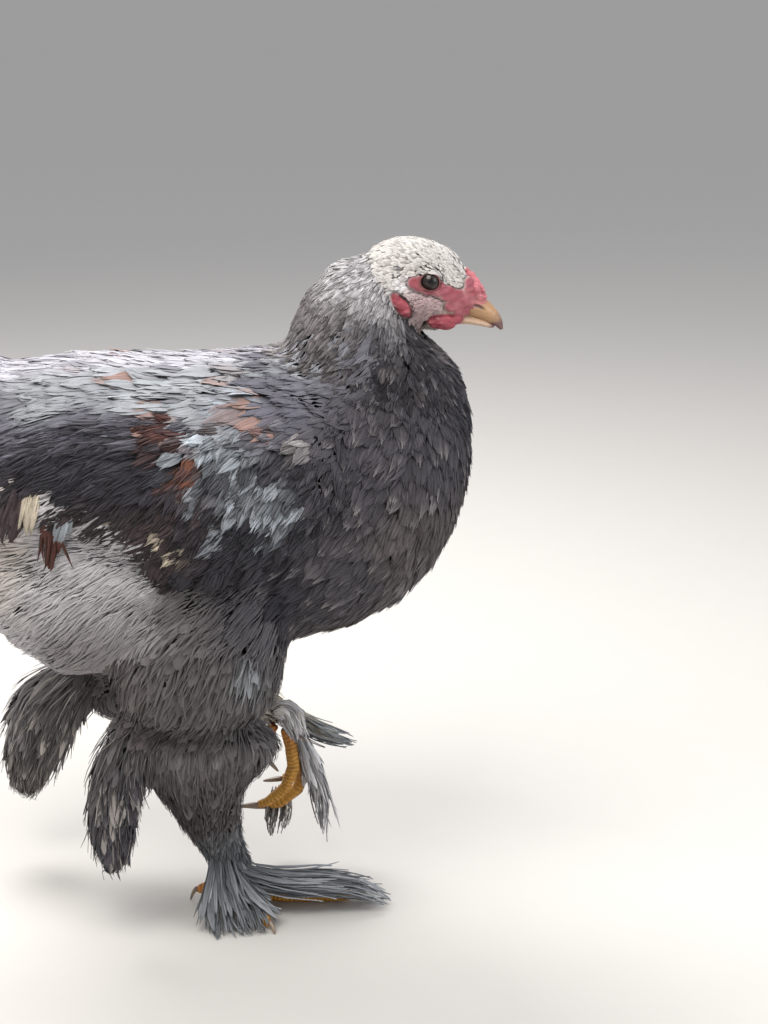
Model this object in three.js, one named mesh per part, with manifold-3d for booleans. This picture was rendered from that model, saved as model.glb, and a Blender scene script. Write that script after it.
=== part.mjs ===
// A life-size Brahma pullet in mid-step: it stands on its right foot and lifts the left one.
// Millimetres, +Z up, the bird faces +X, and its right side faces -Y.
// The origin is on the floor, under the middle of the standing foot's pad.
// Every solid's surface is the outline of the feathers, out to their tips.
import * as THREE from "three";
import { mergeVertices } from "three/addons/utils/BufferGeometryUtils.js";
import Module from "manifold-3d";

const wasm = await Module();
wasm.setup();

// Driving dimensions
const MID = 3; // the body's middle plane, a little beside the foot that carries it
const GAP = 0.3; // left between solids that touch
const EYE = { x: 110.2, z: 372.4, out: 12.3, r: 6.4 };
const PAD = { r: 11.5, tall: 11, z: 7.5 }; // under the standing foot
const KNUCKLE = { x: 25, y: 52, z: 101, r: 9 }; // where the lifted foot's toes meet
const WATTLE_OUT = 7;
const EAR_OUT = 18.4;
const TRUNK_POWER = 2.25; // 2 makes an elliptical trunk, and more makes a boxier one
const TAIL_POWER = 2.4;
const TAIL_LEAN = 0.55; // how far the tail's top leans in for each millimetre up
const WING = { thick: 13, rim: 2.4, off: 1, straight: -88, inward: 0.36 };
const FLOOR_BLOCK = 600; // the block that flattens what stands on the floor

const SIDES = [
  { name: "right", way: -1 },
  { name: "left", way: 1 },
];

const finish = (color, roughness) =>
  new THREE.MeshStandardMaterial({ color, roughness, metalness: 0 });
const PLUMAGE_PALE = finish("#c9c2bb", 0.85);
const PLUMAGE_SLATE = finish("#6d6a70", 0.85);
const PLUMAGE_WING = finish("#85848c", 0.8);
const DOWN = finish("#9b948f", 0.95);
const LEG_FEATHER = finish("#77716f", 0.9);
const RED_SKIN = finish("#c8505c", 0.55);
const TOE_SKIN = finish("#c79436", 0.5);
const HORN = finish("#c9a463", 0.4);
const CLAW = finish("#8d7a62", 0.4);
const EYE_GLOSS = finish("#3a241c", 0.1);

// Shapes

const radians = THREE.MathUtils.degToRad;

// A smooth curve through the values, from the first at t = 0 to the last at t = 1
function along(values, t) {
  const last = values.length - 1;
  const place = Math.min(t, 1) * last;
  const i = Math.min(Math.floor(place), last - 1);
  const f = place - i;
  const here = values[i];
  const next = values[i + 1];
  const before = i > 0 ? values[i - 1] : 2 * here - next;
  const after = i + 2 <= last ? values[i + 2] : 2 * next - here;
  const slope = next - before;
  const bend = 2 * before - 5 * here + 4 * next - after;
  const twist = 3 * here - before - 3 * next + after;
  return here + 0.5 * f * (slope + f * (bend + f * twist));
}

const column = (rows, k, t) => along(rows.map((row) => row[k]), t);

// A closed skin over rings: place(t, angle) is a point of the ring at t, from 0 to 1
function skinOver(place, centre, rings, sides) {
  const skin = new THREE.SphereGeometry(1, sides, rings + 1);
  const at = skin.getAttribute("position");
  for (let row = 0; row <= rings + 1; row++) {
    for (let side = 0; side <= sides; side++) {
      const pole = row === 0 || row === rings + 1;
      const t = THREE.MathUtils.clamp((row - 1) / (rings - 1), 0, 1);
      const angle = ((side % sides) / sides) * 2 * Math.PI;
      const p = pole ? centre(t) : place(t, angle);
      at.setXYZ(row * (sides + 1) + side, p.x, p.y, p.z);
    }
  }
  return skin;
}

// A point of a ring of half size 1: an ellipse at power 2, a rounded box above it
function onRing(angle, power) {
  const bend = (v) => Math.sign(v) * Math.abs(v) ** (2 / power);
  return [bend(Math.cos(angle)), bend(Math.sin(angle))];
}

// Rings that stand across the body. A row is [x, z, tilt, tall, wide], all sizes half
// sizes, and tilt is where the ring's back points: 90 is up, and 180 is to the tail.
function barrel(rows, { y = MID, rings, sides, power = 2.2, grow }) {
  const sideways = typeof y === "number" ? () => y : (t) => along(y, t);
  const centre = (t) => new THREE.Vector3(column(rows, 0, t), sideways(t), column(rows, 1, t));
  const place = (t, angle) => {
    const tilt = radians(column(rows, 2, t));
    const [c, s] = onRing(angle, power);
    const up = c * (column(rows, 3, t) + grow);
    const out = s * (column(rows, 4, t) + grow);
    return centre(t).add(new THREE.Vector3(Math.cos(tilt) * up, out, Math.sin(tilt) * up));
  };
  return skinOver(place, centre, rings, sides);
}

// A toe, claw, shank or blade of feathers that follows a path. A row is
// [x, y, z, tall, wide], with tall measured towards up and wide across it.
function limb(rows, { rings, sides, power = 2, up = [0, 0, 1], grow }) {
  const step = 0.01;
  const centre = (t) =>
    new THREE.Vector3(column(rows, 0, t), column(rows, 1, t), column(rows, 2, t));
  const place = (t, angle) => {
    const ahead = centre(Math.min(1, t + step)).sub(centre(Math.max(0, t - step)));
    const side = ahead.clone().cross(new THREE.Vector3(...up)).normalize();
    const top = side.clone().cross(ahead).normalize();
    const [c, s] = onRing(angle, power);
    return centre(t)
      .addScaledVector(top, c * (column(rows, 3, t) + grow))
      .addScaledVector(side, s * (column(rows, 4, t) + grow));
  };
  return skinOver(place, centre, rings, sides);
}

// Solids

// A closed geometry as a solid, whichever way its faces point
function solidOf(geometry) {
  const bare = geometry.clone();
  bare.deleteAttribute("normal");
  bare.deleteAttribute("uv");
  const merged = mergeVertices(bare, 1e-3);
  const vertProperties = new Float32Array(merged.attributes.position.array);
  const outward = [];
  const inward = [];
  const index = merged.index.array;
  for (let i = 0; i < index.length; i += 3) {
    const [a, b, c] = [index[i], index[i + 1], index[i + 2]];
    if (a === b || b === c || c === a) continue;
    outward.push(a, b, c);
    inward.push(a, c, b);
  }
  const make = (corners) =>
    new wasm.Manifold(
      new wasm.Mesh({ numProp: 3, vertProperties, triVerts: new Uint32Array(corners) }),
    );
  const made = make(outward);
  return made.volume() > 0 ? made : make(inward);
}

const largest = (solid) => solid.decompose().reduce((a, b) => (a.volume() > b.volume() ? a : b));

function geometryOf(solid) {
  const { numVert, numProp, vertProperties, triVerts } = solid.getMesh();
  const at = new Float32Array(numVert * 3);
  for (let i = 0; i < numVert; i++)
    at.set(vertProperties.subarray(i * numProp, i * numProp + 3), i * 3);
  const shared = new THREE.BufferGeometry();
  shared.setAttribute("position", new THREE.BufferAttribute(at, 3));
  shared.setIndex(new THREE.BufferAttribute(new Uint32Array(triVerts), 1));
  const faceted = shared.toNonIndexed();
  faceted.computeVertexNormals();
  return faceted;
}

const bird = new THREE.Group();
bird.name = "brahma_pullet";
const standing = []; // the pieces made so far, each grown by the gap

const underFloor = solidOf(
  new THREE.BoxGeometry(FLOOR_BLOCK, FLOOR_BLOCK, FLOOR_BLOCK).translate(0, 0, -FLOOR_BLOCK / 2),
);

// Adds a piece, less the pieces made before it. shape(grow) is its geometry at that growth,
// and a piece that stands on the floor is cut flat there.
function add(name, material, shape, onFloor = false) {
  const grown = shape(GAP);
  grown.computeBoundingBox();
  let solid = solidOf(shape(0));
  if (onFloor) solid = solid.subtract(underFloor);
  for (const other of standing)
    if (other.box.intersectsBox(grown.boundingBox)) solid = solid.subtract(other.solid);
  const mesh = new THREE.Mesh(geometryOf(largest(solid)), material);
  mesh.name = name;
  bird.add(mesh);
  standing.push({ solid: solidOf(grown), box: grown.boundingBox });
}

const ball = ({ x, y, z, r, tall = r }, sides, grow) =>
  new THREE.SphereGeometry(1, sides, Math.ceil(sides / 2) + 1)
    .scale(r + grow, r + grow, tall + grow)
    .translate(x, y, z);

// Head: the eyes, the red skin and the beak come first, and the head makes room for them

const HEAD = [
  [84, 367.5, 104, 22, 18],
  [90, 368.5, 99, 25, 20.5],
  [99, 369.5, 93, 26, 20.3],
  [108.5, 368.5, 88, 25.2, 17.8],
  [118, 365.5, 80, 23.2, 15],
  [126, 361.5, 70, 18.5, 12],
  [132, 358, 62, 13, 9.2],
  [135, 356.2, 60, 9, 7],
];
const BEAK_UPPER = [
  [133, 358, 55, 6.6, 7.2],
  [138.5, 355.3, 52, 5.8, 6],
  [143.8, 351.6, 45, 4.5, 4.3],
  [148, 347.6, 32, 2.7, 2.5],
  [150.4, 343, 10, 0.7, 0.7],
];
const BEAK_LOWER = [
  [127, 350.2, 68, 3.8, 6.4],
  [133, 348.9, 66, 2.6, 5.4],
  [139.5, 347.2, 64, 2, 4],
  [145, 345.2, 62, 1.3, 2.4],
  [147, 344.4, 60, 0.6, 1],
];
const COMB = [
  [141, 360.4, 32, 1.6, 2],
  [139, 364.6, 30, 2.9, 3.8],
  [136, 369.8, 36, 3.3, 4.6],
  [132, 375, 46, 3, 4.2],
  [128, 379, 58, 1.4, 2],
];
const WATTLE = [
  [109.5, 348.6, 90, 1.4, 1],
  [113, 347.4, 90, 3.4, 1.8],
  [118.5, 346.2, 90, 4.4, 2.2],
  [123.5, 347.4, 90, 3.4, 1.8],
  [127, 349, 90, 1.2, 1],
];
const EAR_LOBE = [
  [90, 366, 40, 1.2, 1],
  [92.2, 363, 40, 2.6, 1.8],
  [95, 359.4, 40, 3, 2],
  [98.2, 355, 40, 1.6, 1],
];

for (const { name, way } of SIDES) {
  const eyeball = { ...EYE, y: MID + way * EYE.out };
  const beside = (out) => ({ y: MID + way * out, rings: 4, sides: 6 });
  add(`eye_${name}`, EYE_GLOSS, (grow) => ball(eyeball, 12, grow));
  add(`earlobe_${name}`, RED_SKIN, (grow) => barrel(EAR_LOBE, { ...beside(EAR_OUT), grow }));
  add(`wattle_${name}`, RED_SKIN, (grow) => barrel(WATTLE, { ...beside(WATTLE_OUT), grow }));
}
add("comb", RED_SKIN, (grow) => barrel(COMB, { rings: 5, sides: 6, grow }));
add("beak_upper", HORN, (grow) => barrel(BEAK_UPPER, { rings: 6, sides: 8, grow }));
add("beak_lower", HORN, (grow) => barrel(BEAK_LOWER, { rings: 4, sides: 6, grow }));
add("head", PLUMAGE_PALE, (grow) => barrel(HEAD, { rings: 10, sides: 16, grow }));

// Trunk, breast and back in one, and the hackle neck that drops into the shoulders.
// A trunk row is [x, top, bottom, half width].

const TRUNK = [
  [134.5, 296, 268, 14],
  [130, 309, 246, 32],
  [119, 319, 219, 52],
  [98, 328, 193, 68],
  [64, 336, 175, 79],
  [20, 334, 167, 84],
  [-25, 330, 163, 86],
  [-65, 331, 161, 84],
  [-100, 329, 170, 77],
  [-128, 323, 203, 61],
  [-145, 311, 243, 39],
  [-152, 296, 268, 16],
];
const NECK = [
  [94, 366.5, 112, 23, 19],
  [88, 362, 128, 28, 23],
  [84, 353, 147, 39, 31],
  [81, 340, 160, 46, 39],
  [80, 324, 171, 50.5, 47],
  [79, 302, 177, 52, 54],
  [77, 278, 180, 46, 54],
];

const upright = ([x, top, bottom, wide]) => [x, (top + bottom) / 2, 90, (top - bottom) / 2, wide];

add("trunk", PLUMAGE_SLATE, (grow) =>
  barrel(TRUNK.map(upright), { rings: 15, sides: 20, power: TRUNK_POWER, grow }),
);
add("neck", PLUMAGE_PALE, (grow) => barrel(NECK, { rings: 8, sides: 16, grow }));

// Feet. Each toe and its claw share one path, and a row of sizes thins along it.

const TOE_THIN = [1, 1, 0.9, 0.78, 0.66, 0.46];
const CLAW_THIN = [0.42, 0.34, 0.12];
const DEEPER = 1.08; // a toe is a little deeper than wide

const thinned = (path, sizes, girth) =>
  path.map((point, i) => {
    const size = girth * sizes[Math.round((i * (sizes.length - 1)) / (path.length - 1))];
    return [...point, size * DEEPER, size];
  });

// A toe on the floor, from the pad out. heading is in degrees from straight ahead,
// reach goes to the claw's tip, and high is how far above the pad the toe starts.
const STANDING_TOES = {
  1: { heading: 172, reach: 30, girth: 4.6, high: 7 },
  2: { heading: 40, reach: 54, girth: 5.8, high: 0 },
  3: { heading: 2.5, reach: 78, girth: 6.3, high: 0 },
  4: { heading: -61, reach: 47, girth: 5.8, high: 0 },
};
const TOE_LIFT = [[0.1, 9], [0.33, 6.8], [0.58, 5], [0.78, 4.4], [0.86, 4.4]];
const CLAW_LIFT = [[0.84, 4.8], [0.92, 4.6], [1, 0.1]];

function standingToe({ heading, reach, girth, high }) {
  const ahead = Math.cos(radians(heading)) * reach;
  const aside = Math.sin(radians(heading)) * reach;
  const path = (lifts) =>
    lifts.map(([share, z]) => [ahead * share, aside * share, z + high * Math.sqrt(1 - share)]);
  return {
    toe: thinned(path(TOE_LIFT), TOE_THIN, girth),
    claw: thinned(path(CLAW_LIFT), CLAW_THIN, girth),
  };
}

// A toe of the lifted foot hangs from the knuckle and curls. curl gives its first and last
// direction, in degrees back from straight down, and splay is its way sideways.
const CURLED_TOES = {
  1: { from: [19, 48, 95], bones: [10, 9, 7], nail: 7, curl: [24, -42], splay: -0.1, girth: 4.2 },
  2: { from: [27, 45, 94], bones: [12, 13, 14, 14, 7], nail: 12, curl: [-14, 87], splay: -0.1, girth: 5.3 },
  3: { from: [32, 52, 93], bones: [14, 14, 15, 14, 8], nail: 13, curl: [-17, 87], splay: -0.03, girth: 5.7 },
  4: { from: [29, 59, 93], bones: [13, 13, 13, 9], nail: 11, curl: [-23, 79], splay: 0.12, girth: 5.3 },
};
const CLAW_START = 0.12; // how far back into the toe a claw starts, as a share of its length

function curledToe({ from, bones, nail, curl, splay, girth }) {
  const path = [from];
  [...bones, nail].forEach((length, i) => {
    const turn = THREE.MathUtils.smoothstep(i, 0, bones.length);
    const back = radians(THREE.MathUtils.lerp(curl[0], curl[1], turn));
    const [x, y, z] = path[i];
    path.push([x - Math.sin(back) * length, y + splay * length, z - Math.cos(back) * length]);
  });
  const [quick, tip] = path.slice(-2);
  const onNail = (share) => quick.map((v, i) => THREE.MathUtils.lerp(v, tip[i], share));
  return {
    toe: thinned(path.slice(0, -1), TOE_THIN, girth),
    claw: thinned([-CLAW_START, 0.5, 1].map(onNail), CLAW_THIN, girth),
  };
}

const SIDEWAYS = [0, 1, 0];
const BACKWARD = [1, 0, 0];

add("foot_right", TOE_SKIN, (grow) => ball({ x: 0, y: 0, ...PAD }, 8, grow), true);
add("foot_left", TOE_SKIN, (grow) => ball(KNUCKLE, 8, grow));
for (const digit of [1, 2, 3, 4]) {
  const claw = { rings: 4, sides: 5 };
  const near = standingToe(STANDING_TOES[digit]);
  const far = curledToe(CURLED_TOES[digit]);
  add(`claw_right_${digit}`, CLAW, (grow) => limb(near.claw, { ...claw, grow }), true);
  add(`toe_right_${digit}`, TOE_SKIN, (grow) => limb(near.toe, { rings: 5, sides: 6, grow }), true);
  add(`claw_left_${digit}`, CLAW, (grow) => limb(far.claw, { ...claw, up: SIDEWAYS, grow }));
  add(`toe_left_${digit}`, TOE_SKIN, (grow) =>
    limb(far.toe, { rings: 6, sides: 6, up: SIDEWAYS, grow }),
  );
}

// Legs, in their feathering. A thigh's and the standing shank's y is listed beside its rows.

const THIGH_RIGHT = [
  [0, 222, 0, 36, 32],
  [-9, 200, 0, 45, 40],
  [-15, 176, 0, 49, 43],
  [-18, 155, 0, 48, 42],
  [-19, 139, 0, 43, 37],
  [-20, 130.5, 0, 30, 26],
];
const THIGH_RIGHT_Y = [-42, -43, -43, -41, -38, -36];
const SHANK_RIGHT = [
  [-15, 127.5, 0, 30, 25],
  [-13, 117, 0, 40, 31],
  [-13, 104, 0, 39, 31],
  [-20, 87, 0, 29, 26],
  [-18, 68, 0, 22, 20],
  [-14, 51, 0, 17, 16],
  [-9, 37, 0, 14, 14],
  [-3, 24, 0, 12.5, 13],
];
const SHANK_RIGHT_Y = [-33, -31, -28, -22, -14, -8, -4, -1];
const THIGH_LEFT = [
  [-4, 222, 0, 38, 30],
  [-18, 198, 0, 45, 37],
  [-36, 174, 0, 46, 38],
  [-56, 152, 0, 38, 33],
  [-74, 134, 0, 26, 24],
  [-80, 126, 0, 14, 14],
];
const THIGH_LEFT_Y = [54, 55, 55, 56, 57, 58];
const SHANK_LEFT = [
  [-84, 58, 117, 19, 15],
  [-66, 58, 112, 22, 17],
  [-40, 57, 106, 21, 17],
  [-12, 55, 104, 17, 15],
  [8, 53, 106, 12.5, 12],
  [20, 52, 103.5, 10, 10],
];
const HOCK_FEATHERS = {
  right: [
    [-50, -44, 141, 9, 9],
    [-58, -46, 122, 15, 13],
    [-65, -48, 99, 17, 14],
    [-67, -48, 74, 16, 12],
    [-68, -47, 54, 12, 9],
    [-68, -46, 42, 5, 4],
  ],
  left: [
    [-92, 60, 132, 12, 9],
    [-106, 61, 119, 20, 14],
    [-118, 62, 102, 25, 16],
    [-126, 63, 82, 24, 15],
    [-132, 63, 62, 18, 11],
    [-138, 62, 46, 8, 5],
  ],
};

const thighShape = { rings: 8, sides: 14 };
add("thigh_right", LEG_FEATHER, (grow) =>
  barrel(THIGH_RIGHT, { ...thighShape, y: THIGH_RIGHT_Y, grow }),
);
add("shank_right", LEG_FEATHER, (grow) =>
  barrel(SHANK_RIGHT, { rings: 10, sides: 10, y: SHANK_RIGHT_Y, grow }),
);
add("thigh_left", LEG_FEATHER, (grow) =>
  barrel(THIGH_LEFT, { ...thighShape, y: THIGH_LEFT_Y, grow }),
);
add("shank_left", LEG_FEATHER, (grow) => limb(SHANK_LEFT, { rings: 8, sides: 10, grow }));
for (const { name } of SIDES)
  add(`hock_feathers_${name}`, LEG_FEATHER, (grow) =>
    limb(HOCK_FEATHERS[name], { rings: 7, sides: 8, up: BACKWARD, grow }),
  );

// Fans of feathers on the feet

const FANS = {
  right_middle: {
    up: [0, 0, 1],
    rows: [
      [3, -9, 22, 7, 9],
      [24, -11, 17.5, 7, 12],
      [47, -8, 17.5, 7.5, 12],
      [67, -3, 14, 6.5, 10],
      [83, 0, 7, 4.5, 6],
      [91, 1, 1.8, 2, 2.5],
    ],
  },
  right_outer: {
    up: [0, 0, 1],
    rows: [
      [-8, -12, 27, 9, 11],
      [-4, -22, 17, 8, 15],
      [1, -33, 8, 6, 18],
      [5, -42, 3, 3.4, 15],
      [6, -47, 1.4, 1.6, 8],
    ],
  },
  left_front: {
    up: [0, 0, 1],
    rows: [
      [31, 58, 97, 7, 7],
      [42, 58, 86, 9, 10],
      [54, 58, 82, 9, 9],
      [63, 58, 81.5, 5, 6],
      [69, 58, 80, 1.5, 2],
    ],
  },
  left_hanging: {
    up: BACKWARD,
    rows: [
      [38, 57, 76, 6, 7],
      [43, 58, 62, 8, 8],
      [45, 58, 47, 9, 7],
      [48, 58, 30, 6, 5],
      [49, 57.5, 18, 3.2, 3],
      [48.6, 57, 12, 1, 1],
    ],
  },
  left_under: {
    up: BACKWARD,
    rows: [
      [24, 58, 46, 12, 7],
      [22, 58.5, 36, 14, 7],
      [20, 59, 26, 13, 5.5],
      [19, 59, 18, 7, 3],
    ],
  },
};
for (const [name, { up, rows }] of Object.entries(FANS)) {
  const shape = (grow) => limb(rows, { rings: 6, sides: 6, up, grow });
  add(`foot_feathers_${name}`, LEG_FEATHER, shape, name.startsWith("right"));
}

// Folded wings: a shell over the trunk's side, in three lengths. A row is [x, top, bottom].

const WING_EDGES = [
  [62, 299, 277],
  [50, 313, 246],
  [26, 320, 229],
  [-4, 321, 219],
  [-36, 319, 229],
  [-68, 315, 245],
  [-96, 309, 246],
  [-122, 299, 240],
  [-142, 284, 243],
  [-150, 272, 249],
];
const WING_PARTS = { coverts: [0, 0.36], secondaries: [0.366, 0.72], primaries: [0.726, 1] };

// How far the trunk's side stands out from the middle plane at x and z
function trunkSide(x, z) {
  let [low, high] = [0, 1];
  for (let i = 0; i < 30; i++) {
    const t = (low + high) / 2;
    if (column(TRUNK, 0, t) > x) low = t;
    else high = t;
  }
  const [top, bottom, wide] = [1, 2, 3].map((k) => column(TRUNK, k, low));
  const height = Math.min(1, Math.abs(2 * z - top - bottom) / (top - bottom));
  return wide * (1 - height ** TRUNK_POWER) ** (1 / TRUNK_POWER);
}

// The wing's inner face: on the trunk, and straight on behind it, a little inwards
function wingBed(x, z) {
  const held = Math.max(x, WING.straight);
  const straight = trunkSide(held, z) - (held - x) * WING.inward;
  return Math.max(trunkSide(x, z), straight) + WING.off;
}

function wingShell(way, [from, to], grow) {
  const point = (t, height, outer) => {
    const share = THREE.MathUtils.lerp(from, to, t);
    const [top, bottom] = [1, 2].map((k) => column(WING_EDGES, k, share));
    const z = THREE.MathUtils.lerp(bottom, top, (height + 1) / 2) + Math.sign(height) * grow;
    const x = column(WING_EDGES, 0, share);
    const full = Math.sqrt(Math.sin(Math.PI * share)) * (1 - height ** 4);
    const thick = THREE.MathUtils.lerp(WING.rim, WING.thick, full);
    const out = wingBed(x, z) + (outer ? thick + grow : -grow);
    const stretch = t === 0 ? grow : t === 1 ? -grow : 0;
    return new THREE.Vector3(x + stretch, MID + way * out, z);
  };
  const place = (t, angle) => point(t, Math.cos(angle), angle < Math.PI);
  const centre = (t) => point(t, 0, true).add(point(t, 0, false)).multiplyScalar(0.5);
  return skinOver(place, centre, 6, 12);
}

for (const { name, way } of SIDES)
  for (const [part, stretch] of Object.entries(WING_PARTS))
    add(`wing_${part}_${name}`, PLUMAGE_WING, (grow) => wingShell(way, stretch, grow));

// Tail: a cushion of coverts, and half a fan on each side that leans in to the ridge.
// A fan row is [x, out from the middle, z, tall, wide].

const TAIL_COVERTS = [
  [-118, 299, 96, 23, 50],
  [-136, 306, 103, 27, 45],
  [-156, 317, 110, 29, 36],
  [-176, 330, 116, 24, 26],
  [-190, 339, 119, 14, 13],
];
const TAIL_FAN = [
  [-130, 12, 302, 20, 9],
  [-159, 15.5, 319, 30, 8],
  [-191, 20, 337, 39, 6],
  [-217, 21, 349, 42, 4.5],
  [-235, 19, 357, 33, 3],
  [-245, 15, 361, 19, 2],
];

add("tail_coverts", PLUMAGE_SLATE, (grow) =>
  barrel(TAIL_COVERTS, { rings: 6, sides: 12, grow }),
);
for (const { name, way } of SIDES) {
  const rows = TAIL_FAN.map(([x, out, z, tall, wide]) => [x, MID + way * out, z, tall, wide]);
  const fan = { rings: 7, sides: 8, power: TAIL_POWER, up: [0, -way * TAIL_LEAN, 1] };
  add(`tail_${name}`, PLUMAGE_SLATE, (grow) => limb(rows, { ...fan, grow }));
}

// Fluff behind and between the thighs. A row is [x, top, bottom, half width].

const FLUFF = [
  [-4, 222, 168, 50],
  [-34, 236, 154, 72],
  [-74, 246, 149, 83],
  [-108, 252, 157, 80],
  [-134, 260, 185, 67],
  [-151, 262, 212, 46],
  [-158, 252, 230, 20],
];

add("fluff", DOWN, (grow) => barrel(FLUFF.map(upright), { rings: 8, sides: 14, grow }));

export default bird;
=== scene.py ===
"""A still, life-size young Brahma hen in mid-step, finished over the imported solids.

Lengths are in millimetres until a mesh is made. The frame is the solids' own: the hen
faces +X, its right side faces -Y, +Z is up, and the origin is under its standing foot.
"""

import contextlib
import functools
import math

import bmesh
import bpy
import numpy as np
import openvdb
from bpy.props import FloatProperty, FloatVectorProperty, IntProperty, PointerProperty
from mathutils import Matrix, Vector


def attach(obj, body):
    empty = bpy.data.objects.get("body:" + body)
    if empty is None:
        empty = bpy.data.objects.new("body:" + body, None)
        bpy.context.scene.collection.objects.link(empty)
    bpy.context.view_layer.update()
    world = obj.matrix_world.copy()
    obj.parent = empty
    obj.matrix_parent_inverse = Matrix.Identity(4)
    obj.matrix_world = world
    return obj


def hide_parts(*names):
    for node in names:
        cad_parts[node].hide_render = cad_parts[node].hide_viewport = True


bl_info = {
    "name": "Brahma hen",
    "version": (1, 0, 0),
    "blender": (4, 5, 0),
    "location": "3D View > Sidebar > Brahma hen",
    "description": "Skin, feathers, eyes, beak and claws of a young Brahma hen over its solids",
    "category": "Object",
}

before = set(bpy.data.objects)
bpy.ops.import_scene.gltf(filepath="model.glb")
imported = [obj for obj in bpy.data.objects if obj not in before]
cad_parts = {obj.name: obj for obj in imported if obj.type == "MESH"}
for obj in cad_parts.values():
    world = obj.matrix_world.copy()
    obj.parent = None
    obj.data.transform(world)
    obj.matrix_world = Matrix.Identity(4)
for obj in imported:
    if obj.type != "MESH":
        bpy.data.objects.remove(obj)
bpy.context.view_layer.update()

MM = 0.001
MID = 3.0  # the body's middle plane
BODY = "root"
WAYS = {"right": -1, "left": 1}


# Settings

def from_hex(text):
    """A colour written as six hex digits, as linear red, green and blue."""
    parts = [int(text[i : i + 2], 16) / 255 for i in (0, 2, 4)]
    return tuple(p / 12.92 if p <= 0.04045 else ((p + 0.055) / 1.055) ** 2.4 for p in parts)


def paint(name, description, text):
    return FloatVectorProperty(
        name=name, description=description, default=from_hex(text), subtype="COLOR", min=0, max=1
    )


def measure(name, description, value, **limits):
    return FloatProperty(name=name, description=description, default=value, min=0, **limits)


def millimetres(name, description, value):
    return measure(name, description, value * MM, unit="LENGTH")


def share(name, description, value):
    return measure(name, description, value, max=4, subtype="FACTOR")


class HenColours(bpy.types.PropertyGroup):
    white: paint("White", "Cheek and ear feathers", "f2f0f2")
    pale: paint("Pale", "Crown of the head", "dedad6")
    nape: paint("Nape", "Back of the neck", "7f7778")
    lavender: paint("Lavender", "Back and saddle", "cbc9d3")
    silver: paint("Silver", "Worn pale wing feathers", "aab1b9")
    slate: paint("Slate", "Breast and shoulders", "4e4b51")
    dark: paint("Dark", "Hackle and wing shadows", "35333a")
    ink: paint("Ink", "Darkest feathers low on the neck", "27252b")
    brown_grey: paint("Brown grey", "Lower breast and belly", "645d5c")
    grey: paint("Grey", "Thighs", "686465")
    cloud: paint("Cloud", "Upper fluff", "d3d0d3")
    cream: paint("Cream", "Fluff behind", "e4dad1")
    beige: paint("Beige", "Fleck and moult feathers", "c4b8a4")
    rust: paint("Rust", "Worn red-brown feathers", "7d4c38")
    russet: paint("Russet", "Dark red-brown feathers", "5f3830")
    umber: paint("Umber", "Wing tips", "45383a")
    fawn: paint("Fawn", "Faded red-brown feathers of the back", "9a7b72")
    steel: paint("Steel", "Roots of the foot feathers", "76797d")
    dusk: paint("Dusk", "Long feathers behind on the wing", "605e69")
    ash: paint("Ash", "Lower fluff", "948f90")
    frost: paint("Frost", "Tips of the foot feathers", "a0a4a9")
    blush: paint("Blush", "Fuzz of the cheek", "c2a5a6")
    # Rose is the comb's red lightened as painted light from above.
    rose: paint("Rose", "Comb", "be7077")
    red: paint("Red", "Wattles and ear lobes", "903f49")
    pink: paint("Pink", "Bare face", "98515a")
    flesh: paint("Flesh", "Skin between comb and brow", "bd8583")
    yellow: paint("Yellow", "Toes", "c08a38")
    orange: paint("Orange", "Knuckles of the toes", "b06f32")
    horn: paint("Horn", "Beak", "ab8560")
    horn_dark: paint("Dark horn", "Beak tip", "64484a")
    claw: paint("Claw", "Claws", "8a7a66")
    iris: paint("Iris", "Ring of the eye", "2c221e")
    pupil: paint("Pupil", "Middle of the eye", "0a0808")
    floor: paint("Floor", "Floor of the stage", "cfccc8")


class HenCoat(bpy.types.PropertyGroup):
    fill: share("Fill", "How many feathers there are, as a share of a full coat", 1)
    wave: share("Unrest", "How much single feathers stray from the lie", 1)
    fray: share("Fray", "How ragged the edges of the feathers are", 1)
    vane: millimetres("Vane", "Thickness of a small feather at its shaft", 0.32)
    seed: IntProperty(name="Seed", description="Start of the random draws", default=7, min=0)


class HenHead(bpy.types.PropertyGroup):
    lid: millimetres("Lid", "Thickness of the eyelids", 0.75)
    opening_wide: millimetres("Eye width", "Width of the opening between the lids", 9.4)
    opening_tall: millimetres("Eye height", "Height of the opening between the lids", 8.2)
    wrinkle: millimetres("Wrinkle", "Depth of the folds of the red skin", 0.9)


class HenStage(bpy.types.PropertyGroup):
    key: measure("Key", "Power of the main lamp", 20, unit="POWER")
    rim: measure("Rim", "Power of the lamp behind", 22, unit="POWER")
    fill: measure("Fill", "Strength of the light all round", 0.56)
    tilt: measure("Tilt", "How far the camera looks down", math.radians(15), subtype="ANGLE")


def settings():
    return bpy.context.scene.hen


def colour(name):
    return np.array(getattr(settings().colours, name))


# Small sums on arrays

def unit(v):
    return v / np.maximum(np.linalg.norm(v, axis=-1, keepdims=True), 1e-9)


def ease(low, high, v):
    t = np.clip((v - low) / (high - low), 0, 1)
    return t * t * (3 - 2 * t)


def mix(a, b, t):
    return a + (b - a) * t


def soft_min(a, b, k):
    """The lower of two distances, with the corner between them rounded over k."""
    near = np.maximum(k - np.abs(a - b), 0) / k
    return np.minimum(a, b) - near * near * k / 4


def soft_max(a, b, k):
    return -soft_min(-a, -b, k)


def turned_flat(across, upward, angle):
    """Two lengths of a plane, measured again on axes turned by an angle."""
    c, s = math.cos(angle), math.sin(angle)
    return across * c + upward * s, -across * s + upward * c


def scramble(i, j, k, seed):
    """A number from 0 to 1 for each lattice point, always the same."""
    n = (i * 374761393 + j * 668265263 + k * 2147483647 + seed * 1274126177) & 0xFFFFFFFF
    n = ((n ^ (n >> 13)) * 1103515245) & 0xFFFFFFFF
    return ((n ^ (n >> 16)) & 0xFFFF) / 65535.0


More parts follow.
